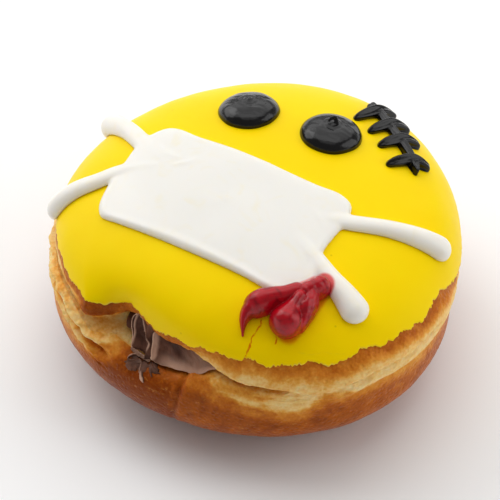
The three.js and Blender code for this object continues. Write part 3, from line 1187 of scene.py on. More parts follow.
@dataclass
class Dough:
    """The fried dough: a dome under the icing, the split with its mouth, and the lower half on its foot."""

    dome: Dome
    base: Ring = Ring(43.8, (Lobe(1, 1.6, -55.0), Lobe(2, 0.65, 46.0), Lobe(3, 0.9, 66.0)))
    ring_height: float = 15.0
    foot_radius: float = 15.0
    mouth_back: float = 33.0
    # How far the dough lies inside the icing's face, and how far up under the icing its band starts
    under_icing: float = 1.2
    tuck: float = 1.4
    columns: int = 560
    rows: dict[str, int] = field(default_factory=lambda: {
        "dome": 12, "band": 26, "lip": 14, "crease": 16, "shoulder": 44, "belly": 46, "foot": 5,
    })
    # Headings between which the mouth opens and closes, and the folds on its left and right come and go
    mouth: tuple = (-31, -25, 0, 18)
    left_side: tuple = (-90, -66, -27, -20)
    right_side: tuple = (43, 52, 100, 130)
    # Humps below the lower lip on the left and right, and across the upright crease below the mouth
    left_folds: tuple = ((0.9, -0.8, 0.7), (-1.4, -2.2, 0.6), (0.6, -4.1, 0.5), (-0.5, -5.1, 0.35))
    right_folds: tuple = ((0.9, -2.2, 1.6), (-0.35, -4.5, 0.6))
    upright_folds: tuple = ((0.4, 5.4, 1.6), (-0.45, 3.4, 0.7), (0.1, 1.9, 0.7))

    # The height of the upper half's lower lip for a heading
    upper_lip_run: Table = (
        (-180, 24.2), (-120, 24.0), (-80, 25.0), (-47, 26.1), (-40, 26.0), (-34, 25.4), (-29, 25.5),
        (-24, 27.4), (-17, 28.6), (-12, 27.4), (-7, 27.2), (-2, 28.0), (2, 28.8), (7, 27.7), (14, 26.5),
        (18, 25.7), (25, 25.3), (31, 25.3), (38, 24.5), (44, 24.9), (51, 26.1), (57, 26.8), (65, 26.6),
        (80, 26.1), (95, 25.4), (120, 24.3), (180, 24.2),
    )
    # How far the lower half's upper lip lies below it
    gap_run: Table = (
        (-180, 0.4), (-60, 0.5), (-40, 0.7), (-34, 1.3), (-29, 2.9), (-24, 5.2), (-17, 7.0), (-8, 5.7),
        (-2, 6.2), (2, 5.9), (7, 3.4), (11, 1.9), (18, 1.3), (26, 1.3), (31, 0.9), (36, 0.3), (41, 0.15),
        (47, 0.4), (60, 0.5), (90, 0.5), (180, 0.4),
    )
    # The height of the icing's edge
    icing_run: Table = (
        (-180, 27.2), (-110, 27.0), (-80, 27.8), (-58, 28.6), (-51, 29.0), (-46, 28.6), (-40, 29.0),
        (-33, 28.9), (-28, 29.0), (-24, 30.4), (-20.5, 30.2), (-16, 29.2), (-8, 28.7), (-4.7, 29.8),
        (-1, 30.0), (2.5, 29.6), (6.6, 30.8), (9, 30.6), (12, 31.3), (17.7, 30.8), (20.3, 31.7),
        (24.3, 31.2), (26.2, 30.8), (31, 31.2), (36, 31.5), (39.5, 31.9), (42, 31.1), (47, 31.1),
        (56, 31.9), (60, 31.1), (66, 31.4), (71, 30.6), (76, 30.4), (80, 31.0), (86, 30.7), (93, 28.6),
        (99, 27.4), (105, 26.7), (120, 27.0), (180, 27.2),
    )
    # The height on the lower half where pale crumb turns to brown crust
    crust_run: Table = (
        (-180, 18), (-120, 17), (-75, 16), (-55, 15.6), (-46, 16.8), (-36, 17.2), (-31, 17.9),
        (-27.5, 19.4), (-24, 21.2), (-20, 23), (-4, 24), (1, 24.3), (4, 23.7), (8, 24.2), (12, 22.8),
        (18, 21.1), (25, 20.0), (32, 19.4), (36, 19.4), (39, 20.6), (42, 22.3), (46, 22.6), (52, 22.2),
        (60, 21.9), (70, 21.5), (90, 21.2), (120, 19), (180, 18),
    )

    def upper_lip(self, heading: Array) -> Array:
        """The height of the upper half's lower lip."""
        return through(heading, self.upper_lip_run)

    def lower_lip(self, heading: Array) -> Array:
        """The height of the lower half's upper lip."""
        return self.upper_lip(heading) - through(heading, self.gap_run)

    def gape(self, heading: Array) -> Array:
        """How wide the mouth gapes: 1 in the mouth, 0 where the halves meet."""
        return stretch(heading, *self.mouth)

    def icing_edge(self, heading: Array) -> Array:
        """The height of the icing's edge, with the slow waves of its run."""
        return through(heading, self.icing_run)

    def belly(self, heading: Array) -> Array:
        """The radius of the lower half, pinched by the upright crease below the mouth."""
        return self.base.reach(heading) - 0.35 * hump(heading, 1.5, 3.2)

    def set_in(self, heading: Array) -> Array:
        """How far the lower half's upper lip lies inside its belly."""
        return 1.3 + 3.9 * stretch(heading, -31, -25, 4, 30) - 0.9 * stretch(heading, 38, 50, 110, 150)

    def shoulder_height(self, heading: Array, radius: Array) -> Array:
        """The height on the lower half's shoulder.

        Args:
            heading: Headings in degrees.
            radius: Level distances from the axis in millimetres.

        Returns:
            Heights on a superellipse of twice this power, from the lower half's lip to its belly.
        """
        power = 1.2
        rim = self.belly(heading) - self.set_in(heading)
        across = np.clip((radius - rim) / self.set_in(heading), 0, 1) ** power
        up = (1 - across * across) ** (0.5 / power)
        return lerp(self.ring_height, self.lower_lip(heading), up)

    def profile(self) -> tuple[Array, Array, Array, Array]:
        """Radius, height, heading and zone of every row and column.

        Returns:
            The stations down the dome, over the band and the lip, into the crease or the mouth, over the
            shoulder and the belly to the foot. The zone counts up by 1 from section to section.
        """
        heading = headings(self.columns, 0.5)[None, :]
        edge, lip = self.icing_edge(heading), self.upper_lip(heading)
        lower_height, belly = self.lower_lip(heading), self.belly(heading)
        sections = []

        def share_of(section: str, start: float = 0.0) -> Array:
            """Shares from start to 1 down a section's rows."""
            return np.linspace(start, 1, self.rows[section])[:, None]

        band_top = edge + self.tuck
        covered = self.dome.slope_at(band_top, self.under_icing)
        sections.append(self.dome.profile(heading, covered * share_of("dome"), self.under_icing))

        band_foot = lip + np.minimum(1.3, 0.5 * (edge - 0.5 - lip))
        full_inset = 0.6 - 0.9 * smoothstep(edge - 0.5 - band_foot, 0, 3)
        height = lerp(band_top, band_foot, share_of("band"))
        under_edge = lerp(1.1, 0.36, smoothstep(band_top - height, 0.0, 0.5))
        inset = lerp(under_edge, full_inset, smoothstep(edge - height, 0.2, 2.2))
        sections.append(self.dome.profile(heading, self.dome.slope_at(height, inset), inset))

        lip_top = (sections[-1][0][-1:], sections[-1][1][-1:])
        lip_end = (lip_top[0] - 1.4, lip)
        sections.append(round_over(lip_end, lip_top, 1 - share_of("lip", 0.06), 2.0))

        lower = (belly - self.set_in(heading), lower_height)
        depth = 1.3 + 2.1 * stretch(heading, 0, 12, 28, 36) - 0.9 * hump(heading, 41, 4)
        shut_end = np.minimum(lip_end[0], lower[0]) - depth
        crease_end = lerp(shut_end, self.mouth_back, self.gape(heading))
        turn = share_of("crease") * math.pi
        inward = np.sin(turn) ** 0.6
        rim = lerp(lip_end[0], lower[0], smoothstep(turn, 0.3, math.pi - 0.3))
        fall = smoothstep(turn, 0.9, math.pi - 0.9)
        sections.append((lerp(rim, crease_end, inward), lerp(lip, lower_height, fall)))

        ring = (belly, self.ring_height + 0 * heading)
        sections.append(round_over(lower, ring, share_of("shoulder", 0.02), 2.4))
        foot = (self.foot_radius + 0 * heading, 0 * heading)
        sections.append(round_over(foot, ring, 1 - share_of("belly", 0.02), 2.0))
        sections.append(((1 - share_of("foot", 0.2)) * foot[0], foot[1]))

        sections = [np.broadcast_arrays(*section) for section in sections]
        radius, height = (np.concatenate(parts) for parts in zip(*sections))
        zone = np.repeat(np.arange(len(sections)), [len(section[0]) for section in sections])[:, None]
        return radius, height, np.broadcast_to(heading, radius.shape), np.broadcast_to(zone, radius.shape)

    def bake(self, heading: Array, height: Array, zone: Array, grain: Grain, places: Array) -> Array:
        """How brown the dough is, from 0 at the pale torn crumb to 1 at the dark belly.

        Args:
            heading: Headings in degrees.
            height: Heights in millimetres.
            zone: The profile's section at each point.
            grain: Noise that makes the boundaries uneven.
            places: The points in millimetres.

        Returns:
            The browning of every point, with painted shade in creases and under overhangs and painted light
            on the right.
        """
        uneven = 1.1 * grain.layered(places, 5.0) + 0.9 * grain.layered(places, 1.5)
        upper = self.upper_bake_and_shading(heading, height, uneven)
        inner = 0.2 + 0.16 * smoothstep(uneven, -0.5, 0.8)
        lower = self.lower_bake_and_shading(heading, height, uneven)
        return np.where(zone < 2.5, upper, np.where(zone < 3.5, inner, lower))

    def lower_bake_and_shading(self, heading: Array, height: Array, uneven: Array) -> Array:
        """How brown the lower half is, with painted shade and painted light.

        Args:
            heading: Headings in degrees.
            height: Heights in millimetres.
            uneven: How far the boundaries shift.

        Returns:
            Pale crumb, golden folds on the left, and brown below the crust's run and towards the foot, with
            painted shade in the folds' groove, along the upright crease and under the upper lip's overhang,
            and painted light that makes the right side paler.
        """
        below = through(heading, self.crust_run) + uneven - height
        lower = 0.13 + 0.42 * smoothstep(below, -1.6, 0.6) + 0.34 * smoothstep(below, 0.4, 4.5)
        # Darker towards the foot, and paler on the right: painted light where that side is lit more
        lower = lower + 0.1 * (1 - smoothstep(height, 3, 9)) - 0.1 * stretch(heading, 25, 60, 110, 150)
        lower = lower + 0.14 * stretch(heading, -28, -16, -4, 1) * smoothstep(below, 0.4, 3.0)
        under = height - self.lower_lip(heading) + 0.3 * uneven
        # Golden crumb on the left folds; the rise in the groove below the first fold is painted shade
        golden = 0.34 * stretch(heading, -75, -52, -24, -20) * (1 - smoothstep(under, -2.3, -1.3))
        golden = golden * (1 + 0.7 * hump(under, -2.5, 0.6)) * (1 - 0.85 * hump(under, -4.0, 0.9))
        golden = golden + 0.2 * stretch(heading, -80, -60, -24, -20) * hump(under, -0.1, 0.5)
        lower = np.maximum(lower, 0.13 + golden)
        # Painted shade: darker along the upright crease and on the pale lip under the upper lip's overhang
        crease = hump(heading, 3.6 - 0.25 * (28 - height), 0.9) * stretch(height, 8, 12, 24, 27)
        lower = lower + 0.12 * crease + 0.12 * stretch(heading, -2, 5, 22, 34) * (1 - smoothstep(below, 0, 2))
        # Painted shade in the pocket under the upper lip's overhang, right of the mouth
        return lower + 0.2 * stretch(heading, 8, 14, 24, 36) * hump(under, -0.8, 0.8)

    def upper_bake_and_shading(self, heading: Array, height: Array, uneven: Array) -> Array:
        """How brown the upper half is.

        Args:
            heading: Headings in degrees.
            height: Heights in millimetres.
            uneven: How far the boundaries shift.

        Returns:
            Pale crumb that turns golden under the icing, and brown crust over the mouth, darker still at the
            mouth's left end with painted shade under the icing's overhang.
        """
        lip, edge = self.upper_lip(heading), self.icing_edge(heading)
        from_lip = (height - lip + 0.5 * uneven) / np.maximum(edge - lip, 2.0)
        upper = 0.22 + (0.42 + 0.1 * smoothstep(heading, 40, 60)) * smoothstep(from_lip, 0.25, 0.95)
        left = 0.17 + 0.5 * smoothstep(edge - height + 0.35 * uneven, 1.5, 0.8)
        upper = lerp(upper, left, 1 - smoothstep(heading, -36, -33))
        # Brown crust over the mouth; the extra dark at its left end is painted shade under the icing's
        # overhang
        dark = 0.72 + 0.22 * stretch(heading, -38, -34, -29, -25) - 0.12 * smoothstep(heading, -6, 8)
        mouth = stretch(heading, -43, -33, -4, 12) * smoothstep(height - lip + 0.3 * uneven, 0.2, 0.9)
        return lerp(upper, dark, np.maximum(mouth, stretch(heading, -30, -26, -4, 12)))

    def relief(self, heading: Array, height: Array, zone: Array, grain: Grain, places: Array) -> Array:
        """How far each point stands out of the smooth profile: lumps, wrinkles, crags, blisters and folds.

        Args:
            heading: Headings in degrees.
            height: Heights in millimetres.
            zone: The profile's section at each point.
            grain: The noise that the relief comes from.
            places: The points in millimetres.

        Returns:
            The relief in millimetres, faded out under the icing and round the foot.
        """
        lip, lower_half = self.upper_lip(heading), zone > 3.2
        lumps = 0.22 * grain.layered(places, 11.0)
        beside_lip = hump(height, lip - 1.6, 2.6) * (zone > 0.5)
        wrinkles = 0.5 * beside_lip * (grain.ridged(places, np.array([5.0, 5.0, 1.3])) - 0.5)
        crags = 0.4 * hump(height, lip, 0.9) * grain.layered(places, 1.4)
        skin = 0.05 * grain.layered(places, 0.8) + 0.05 * (0.5 - grain.cells(places, 1.5))
        under = height - self.lower_lip(heading) + 0.5 * grain.layered(places, 4.0)
        pucker = grain.ridged(places + 7, np.array([4.0, 4.0, 1.4])) - 0.5
        left = humps(under, self.left_folds) + 0.7 * pucker * stretch(under, -6, -5, -1, 0)
        right = humps(under, self.right_folds)
        folds = left * stretch(heading, *self.left_side) + right * stretch(heading, *self.right_side)
        turned = heading + 0.25 * (28 - height) + 0.5 * grain.layered(places, 5.0)
        upright = humps(turned, self.upright_folds) * stretch(height, 7, 14, 23, 27)
        exposed = smoothstep(zone, 0.2, 0.9) * (1 - smoothstep(zone, 5.2, 5.9))
        return (lumps + wrinkles + crags + skin + (folds + upright) * lower_half) * exposed

    def build(self) -> None:
        """Makes the dough and dresses it."""
        grain = Grain(11)
        radius, height, heading, zone = self.profile()
        places = turned_out(heading, radius, height)
        outward = unit(np.cross(np.gradient(places, axis=0), np.roll(places, -1, 1) - np.roll(places, 1, 1)))
        places = places + outward * self.relief(heading, height, zone, grain, places)[..., None]
        places[..., 2] = np.maximum(places[..., 2], 0.0)
        # Browning with painted shade in creases and under overhangs, and painted light on the right
        paint = {"bake": self.bake(heading, height, zone, grain, places)}
        shape = Shape.from_grid(places, paint)
        show("fried_dough", shape, ("dough",), CrustFinish().material())


@dataclass
class Icing:
    """The yellow icing: a thin shell over the dome with a ragged edge."""

    dome: Dome
    dough: Dough
    thickness: float = 0.9
    columns: int = 720
    rows: int = 104
    inner_rows: int = 10
    # Headings and heights along cracks that the red has run into, and along bare ones
    cracks: tuple = (
        ((24.9, 37.4), (24.6, 36.8), (22.0, 35.6), (21.5, 34.4), (20.5, 32.6)),
        ((29.4, 35.8), (29.2, 35.2), (29.1, 34.9)),
    )
    creases: tuple = (
        ((35.2, 33.8), (38.5, 33.4), (41.9, 33.5), (45.3, 32.9), (48, 32.6)),
    )
    # Plan places under the blood, whose red stains the icing beside it
    blood_line: tuple = ((22.4, -21.5), (21.8, -25.5), (21.4, -28.0), (20.4, -31.0))

    def edge(self, heading: Array, ring: Array, grain: Grain) -> Array:
        """The height of the ragged edge: the slow run plus small teeth on a ring, which fade at the back."""
        teeth = 0.8 * grain.layered(ring, 1.9) + 0.6 * np.abs(grain.soft(ring, 0.75))
        return self.dough.icing_edge(heading) + teeth * stretch(heading, -175, -100, 160, 179)

    def lines(self, runs: tuple) -> list[Array]:
        """Points on the icing at headings and heights, for each run of a crack."""
        pairs = [np.array(run).T for run in runs]
        return [self.dome.surface(heading, self.dome.slope_at(height, 0.0))[0] for heading, height in pairs]

    def build(self) -> None:
        """Makes the icing and dresses it."""
        grain = Grain(23)
        heading = headings(self.columns, 0.5)[None, :]
        ring = heading_vectors(heading) * self.dome.ring.radius
        foot = self.dome.slope_at(self.edge(heading, ring, grain), 0.0)
        share = np.linspace(0, 1, self.rows)[:, None] ** 0.7
        outer_inset = 0.55 * smoothstep(share, 0.975, 1.0) ** 2
        outer = turned_out(heading, *self.dome.profile(heading, foot * share, outer_inset))
        swell = 0.12 * grain.layered(outer, 9.0, 2) * smoothstep(share, 0.2, 0.7)
        outer = outer * (1 + swell / self.dome.ring.radius)[..., None]
        inner_share = np.linspace(0.997, 0, self.inner_rows)[:, None]
        inner_inset = lerp(0.75, self.thickness, smoothstep(1 - inner_share, 0, 0.05))
        inner = turned_out(heading, *self.dome.profile(heading, foot * inner_share, inner_inset))
        places = np.concatenate([outer, inner])
        least = 0.1
        runs = smoothstep(grain.layered(ring, 4.0), 0.0, 0.4)
        runs = np.maximum(0.6 * runs, 0.8 * stretch(heading, -21, -17, -8, -4))
        runs = np.maximum(runs, 0.6 * stretch(heading, -80, -60, -45, -38))
        thin = smoothstep(share, 0.968, 0.992) * (least + runs)
        thin = np.concatenate([thin, np.full((self.inner_rows, self.columns), least)])
        stain = 0.7 * (1 - smoothstep(distance_to(places, flat(self.blood_line)), 1.8, 2.8))
        shape = Shape.from_grid(places, {"thin": thin, "stain": stain})
        finish = IcingFinish().material(self.lines(self.cracks), self.lines(self.creases))
        show("yellow_icing", shape, ("icing",), finish)


@dataclass
class Filling:
    """The chocolate cream: a layer through the doughnut that swells in folds out of the mouth."""

    dough: "Dough"
    radius: float = 30.0
    mouth_radius: float = 37.2
    height: float = 24.6
    half_thickness: float = 3.2
    # The height of the front's lower rim for a heading
    rim_run: Table = (
        (-24, 23.6), (-17, 22.3), (-12, 22.1), (-5.5, 22.3), (1, 23.3), (6.2, 23.9), (9.4, 25.8),
        (12.5, 26.9),
    )
    # The headings of edges and folds for the share of the way down: the set-back sheet's left edge, its two
    # pleats, its fold and the left edge of the sheet in front
    left_run: Table = ((0, -21.0), (0.15, -21.6), (0.43, -21.4), (0.6, -20.6), (0.75, -19.3), (1, -18.0))
    pleat_runs: tuple[Table, ...] = (
        ((0, -20.2), (0.25, -20.6), (0.5, -20.2), (0.75, -18.8), (0.95, -17.9)),
        ((0, -19.0), (0.2, -18.6), (0.4, -17.4), (0.6, -16.4), (0.7, -16.0)),
    )
    fold_run: Table = ((0, -20.5), (0.21, -17.7), (0.35, -15.3), (0.47, -13.1), (0.71, -12.6), (1, -12.4))
    sweep_run: Table = ((0, -12.6), (0.28, -11.8), (0.54, -11.4), (0.71, -11.0), (0.83, -10.6), (1, -11.4))
    # The smear's strands, with their plan places, half width and height; the first two make a curled loop
    strands: tuple = (
        (((-9.6, -38.2), (-10.9, -38.5), (-11.8, -39.2), (-12.1, -40.0)), 0.3, 0.7),
        (((-12.0, -39.9), (-11.2, -39.9), (-10.2, -39.3)), 0.24, 0.5),
        (((-10.7, -38.6), (-10.4, -40.2), (-9.6, -41.4)), 1.5, 0.36),
        (((-11.9, -39.8), (-11.3, -40.8), (-10.4, -41.5)), 0.7, 0.36),
        (((-9.9, -39.0), (-9.0, -39.7), (-8.7, -40.8), (-8.5, -41.6)), 0.3, 0.55),
        (((-8.6, -38.6), (-8.3, -40.0), (-8.2, -41.6)), 1.2, 0.36),
        (((-8.3, -41.0), (-7.9, -42.0), (-7.0, -42.7)), 0.45, 0.5),
        (((-7.4, -38.6), (-6.6, -39.7), (-5.4, -40.5), (-4.0, -40.8)), 0.24, 0.5),
        (((-7.2, -38.8), (-5.9, -40.0), (-4.6, -40.9)), 1.0, 0.36),
        (((-6.6, -40.0), (-6.2, -41.0), (-5.5, -41.8)), 0.4, 0.4),
    )

    def layer(self, grain: Grain) -> Shape:
        """The layer through the doughnut.

        Args:
            grain: The noise on it in the mouth.

        Returns:
            A lens, with sines and cosines to a power, that reaches further out in the mouth.
        """
        columns, rows, power = 240, 44, 0.7
        heading = headings(columns, 0.4)[None, :]
        mouth = stretch(heading, -33, -24, 2, 12)
        polar = np.linspace(0, math.pi, rows)[:, None]
        across = np.sin(polar) ** power
        up = np.sign(np.cos(polar)) * np.abs(np.cos(polar)) ** power
        reach = lerp(self.radius, self.mouth_radius, mouth) - 1.2 * mouth * up
        places = turned_out(heading, reach * across, self.height + self.half_thickness * up)
        places = places + 0.15 * mouth[..., None] * grain.layered(places, 2.0)[..., None]
        return Shape.from_grid(places, {"edge": np.zeros(places.shape[:2])})

    def front(self, heading: Array, down: Array, forward: Array) -> Array:
        """Points on the cream's leaning front.

        Args:
            heading: Headings in degrees.
            down: The share of the way from under the upper lip to the lower rim.
            forward: How far the point stands in front of the plain slope, in millimetres.

        Returns:
            Points whose radius grows from the lip's to the rim's, faster towards the bottom.
        """
        top = self.dough.upper_lip(heading) + 0.8
        bottom = through(heading, self.rim_run)
        radius = lerp(36.3, 39.0, np.clip(down, 0, 1.3) ** 1.2) + forward
        return turned_out(heading, radius, lerp(top, bottom, down))

    def sheets(self, grain: Grain) -> list[Shape]:
        """The front's sheets.

        Args:
            grain: The noise of their creases.

        Returns:
            One set back on the left, its hem, and one folded over it.
        """

        def creases(heading: Array, down: Array, size: float) -> Array:
            """Uneven creases that run slanting down the front."""
            spot = np.stack([heading * 0.66 - 5 * down, 6 * down + 0.3 * heading, 0 * down], -1)
            return size * grain.layered(spot, np.array([2.2, 3.0, 1.0]), 4)

        def back_heading(across: Array, down: Array) -> Array:
            """Headings on the set-back sheet, from its left edge to behind the sheet in front."""
            return lerp(through(down, self.left_run), through(down, self.sweep_run) + 1.6, across)

        def folds(heading: Array, down: Array) -> tuple[Array, Array, Array]:
            """The set-back sheet's pleats and fold.

            Args:
                heading: Headings in degrees.
                down: Shares down the sheet.

            Returns:
                The pleats' humps, which end with their runs, the fold's step and the crest beside it.
            """
            width = 0.15
            pleats = [
                hump(heading, through(down, run), width) * (1 - smoothstep(down - run[-1][0], -width, 0))
                for run in self.pleat_runs
            ]
            beside = heading - through(down, self.fold_run)
            step = smoothstep(beside, -0.3, 0.1) * np.exp(-np.maximum(beside, 0) / 2.0)
            crest = hump(beside, 0.1, 0.18) * (1 - smoothstep(down, 0.6, 0.8))
            return np.max(pleats, axis=0), step, crest

        def back_sheet(across: Array, down: Array) -> Array:
            """The set-back sheet.

            Args:
                across: Shares across the sheet.
                down: Shares down it.

            Returns:
                Points on a hollow sheet with pleats at its left, a fold across it and a flare at its foot.
            """
            heading = back_heading(across, down)
            pleats, step, _ = folds(heading, down)
            hollow = -1.5 * np.sin(math.pi * np.clip(across * 1.5, 0, 1)) - 0.5 * smoothstep(across, 0.7, 1.0)
            flare = 0.9 * smoothstep(down, 0.65, 1.0) * (1 - smoothstep(across, 0.3, 0.8))
            forward = 0.2 + hollow + flare + 0.25 * pleats + 0.7 * step + creases(heading, down, 0.35)
            return self.front(heading, down * 1.04, forward)

        def back_pale(across: Array, down: Array) -> Array:
            """Painted highlights along the pleats and the fold's crest."""
            pleats, _, crest = folds(back_heading(across, down), down)
            return np.maximum(0.6 * pleats, 0.7 * crest)

        def hem(across: Array, down: Array) -> Array:
            """The narrow hem under the set-back sheet, which stands forward and leaves a dark slot."""
            heading = lerp(-18.2, -10.6, across)
            return self.front(heading, lerp(0.99, 1.06, down), 0.6 + 0.2 * down + creases(heading, down, 0.2))

        def front_heading(across: Array, down: Array) -> Array:
            """Headings on the sheet in front."""
            return lerp(through(down, self.sweep_run), 12.6, across)

        def front_sheet(across: Array, down: Array) -> Array:
            """The sheet that folds over.

            Args:
                across: Shares across the sheet.
                down: Shares down it.

            Returns:
                Points on a sheet whose left edge is drawn forward, with a valley beside it and a swell.
            """
            heading = front_heading(across, down)
            from_edge = heading - through(down, self.sweep_run)
            valley = 0.9 * hump(from_edge, 4.2, 2.6) * (1 - smoothstep(down, 0.5, 0.9))
            curl = 0.9 * np.exp(-from_edge / 1.3) - valley
            flare = 0.5 * smoothstep(down, 0.8, 1.0)
            swell = 0.5 * stretch(down, 0.35, 0.75, 0.85, 1.1) * smoothstep(heading, -7, 0)
            return self.front(heading, down, curl + flare + swell + creases(heading, down, 0.45))

        def front_pale(across: Array, down: Array) -> Array:
            """How pale the sheet that folds over is.

            Args:
                across: Shares across the sheet.
                down: Shares down it.

            Returns:
                The paint: painted highlights beside the curled left edge and over the swell at the lower
                    right,
            and paler towards the right.
            """
            heading = front_heading(across, down)
            beside = 0.6 * stretch(heading - through(down, self.sweep_run), -1, 0.2, 0.9, 2.2)
            below = smoothstep(down, 0.55, 0.98) * smoothstep(heading, -11, -2)
            return np.maximum(beside, 0.65 * np.maximum(below, 0.6 * smoothstep(heading, -2, 6)))

        return [
            leaf(back_sheet, back_pale, 0.4, 220, 66),
            leaf(hem, lambda across, down: 0.3 + 0 * across, 0.35, 130, 20),
            leaf(front_sheet, front_pale, 0.45, 220, 66),
        ]

    def smear(self, grain: Grain) -> Shape:
        """The torn smear on the brown crust below the mouth.

        Args:
            grain: The noise of its width.

        Returns:
            Strands on the lower half's shoulder, fused into a thin film with painted highlights where it
            stands up.
        """
        count, around, step, sink = 60, 24, 0.2, 0.45
        shapes = []
        for places, half_width, rise in self.strands:
            route = route_through(flat(places), count)
            radius = np.hypot(route[:, 0], route[:, 1])
            heading = heading_of(route)
            route[:, 2] = self.dough.shoulder_height(heading, radius)
            above = self.dough.shoulder_height(heading, radius - step)
            below = self.dough.shoulder_height(heading, radius + step)
            normals = unit(heading_vectors(heading) * (above - below)[:, None] + 2 * step * UPRIGHT)
            width = half_width * np.sin(np.linspace(0.5, math.pi - 0.15, count)) ** 0.8
            width = width * (1 + 1.2 * grain.layered(route, 0.6))
            shapes.append(bead(route, normals, width, np.full(count, rise), sink, around).facing_out())
        film = Shape.joined(shapes).fused(0.09).relaxed(2)
        heading = heading_of(film.points)
        crust = self.dough.shoulder_height(heading, np.hypot(film.points[:, 0], film.points[:, 1]))
        # Painted highlights: paler where the film stands up off the crust
        film.paint["edge"] = 0.05 + 0.75 * smoothstep(film.points[:, 2] - crust, 0.45, 0.8)
        return film

    def build(self) -> None:
        """Makes the cream and dresses it."""
        grain = Grain(31)
        shape = Shape.joined([self.layer(grain), *self.sheets(grain), self.smear(grain)])
        show("chocolate_cream", shape, ("filling",), CreamFinish().material())


@dataclass(frozen=True)
class Strap:
    """A piped strap: its places and its half widths and heights at the start, in the middle and at the tip."""

    places: tuple
    half_widths: tuple[float, float, float]
    heights: tuple[float, float, float]

    stations: tuple[float, float, float] = (0.0, 0.5, 0.95)

    def half_width(self, share: Array) -> Array:
        """Half the strap's width for the share of its length."""
        return through(share, tuple(zip(self.stations, self.half_widths)))

    def height(self, share: Array) -> Array:
        """The strap's height for the share of its length."""
        return through(share, tuple(zip(self.stations, self.heights)))


@dataclass
class Mask:
    """The white mask: a panel of run icing, four straps and a few soft piping marks on the panel."""

    piping: Piping
    centre: tuple[float, float] = (-5.4, -8.6)
    panel_height: float = 1.15
    rim_height: float = 0.32
    edge_radius: float = 1.3
    # Plan places round the panel's edge
    edge: tuple = (
        (-1.2, 6.1), (-9.2, 7.0), (-19.1, 7.7), (-24.0, 8.8), (-26.8, 8.4), (-29.2, 5.6), (-30.6, 1.2),
        (-30.7, -4.5), (-31.0, -9.0), (-30.7, -13.5), (-30.1, -17.2), (-28.3, -19.8), (-24.7, -20.7),
        (-16.4, -22.0), (-4.5, -23.5), (7.0, -24.7), (14.2, -25.6), (19.2, -24.4), (21.6, -21.2),
        (20.6, -17.0), (19.5, -13.0), (19.7, -8.0), (20.3, -3.6), (20.2, 0.0), (19.2, 2.8), (16.2, 4.3),
        (10.8, 4.4), (2.9, 5.4), (-1.2, 6.1),
    )
    straps: tuple[Strap, ...] = (
        Strap(((-20.5, -2.0), (-25, -0.6), (-30.4, 3.0), (-35.0, 6.4), (-39.2, 9.4), (-43.4, 11.9, 31.9),
               (-45.2, 12.4, 28.8)), (2.8, 2.4, 3.1), (1.1, 2.0, 4.0)),
        Strap(((-21.4, -3.2), (-23.6, -4.2), (-27.6, -5.8), (-31, -8.0), (-33.8, -10.4), (-38, -12.6),
               (-44.6, -16.4, 27.8)), (2.2, 2.3, 3.2), (1.15, 2.0, 2.9)),
        Strap(((12.6, -6.4), (15.2, -4.2), (18.0, -2.9), (21.3, -1.9), (24.7, -0.5), (28.2, 1.0),
               (34.8, 3.5), (40.2, 5.6)), (2.4, 2.2, 3.2), (1.05, 2.0, 2.9)),
        Strap(((11.0, -9.4), (13.6, -11.2), (16.4, -13.0), (19.8, -15.1), (23.6, -17.4), (27.4, -19.3),
               (32.6, -22.2)), (2.4, 2.3, 3.5), (1.05, 2.0, 3.1)),
        Strap(((16.6, -13.4), (18.6, -16.2), (19.4, -20.6)), (0.8, 0.8, 0.7), (1.35, 1.5, 1.4)),
        Strap(((11.4, -2.4), (15.0, -4.6), (18.4, -8.2)), (1.0, 1.2, 0.8), (1.25, 1.4, 1.25)),
        Strap(((-27.0, 3.6), (-24.0, 0.4), (-18.6, -0.8)), (1.2, 1.4, 1.0), (1.25, 1.4, 1.25)),
        Strap(((-20.2, -3.2), (-17.4, -1.6), (-15.0, 1.2)), (0.8, 0.9, 0.7), (1.25, 1.4, 1.25)),
    )
    # Plan places under the blood's top, whose red bleeds into the icing of the mask
    blood_line: tuple = ((22.9, -20.1), (21.2, -22.4), (18.4, -25.4), (15.0, -27.8))

    def outline(self, angle: Array) -> Array:
        """The panel's edge round its middle.

        Args:
            angle: Angles round the middle in radians.

        Returns:
            Plan offsets to the curve through the edge's places, read by its own angle there.
        """
        samples = 900
        curve = route_through(flat(self.edge), samples)[:-1, :2] - np.array(self.centre)
        turn = np.arctan2(curve[:, 1], curve[:, 0])
        order = np.argsort(turn)
        radius = np.interp(angle, turn[order], np.hypot(*curve.T)[order], period=2 * math.pi)
        return np.stack([radius * np.cos(angle), radius * np.sin(angle)], axis=-1)

    def relief(self, share: Array, angle: Array) -> Array:
        """The panel's height.

        Args:
            share: Shares of the way out to the edge.
            angle: Angles round the middle in radians.

        Returns:
            A level with a faint swirl, a soft rim along the bottom and a rounded edge.
        """
        reach = np.linalg.norm(self.outline(angle), axis=-1)
        inward = (1 - share) * reach
        lower = smoothstep(-np.sin(angle), -0.1, 0.35)
        rim = self.rim_height * hump(inward, 1.4, 0.9) * lower
        swirl = 0.07 * np.sin(0.35 * share * reach + 2 * angle) * smoothstep(inward, 1, 4)
        edge = 1 - np.clip(inward / self.edge_radius, 0, 1)
        return (self.panel_height + rim + swirl) * np.sqrt(np.maximum(0, 1 - edge ** 2.4))

    def build(self) -> None:
        """Makes the mask and dresses it."""
        centre = np.array(self.centre)
        panel = self.piping.patch(centre, self.outline, self.relief, 420, 110)
        stroke = self.piping.stroke
        straps = [stroke(strap.places, strap.half_width, strap.height) for strap in self.straps]
        shape = Shape.joined([panel, *straps]).fused(0.26).relaxed(14)
        away = distance_to(shape.points, flat(self.blood_line))
        shape.paint["stain"] = 0.9 * (1 - smoothstep(away, 2.1, 2.75))
        show("white_mask", shape, ("mask",), WHITE.material())


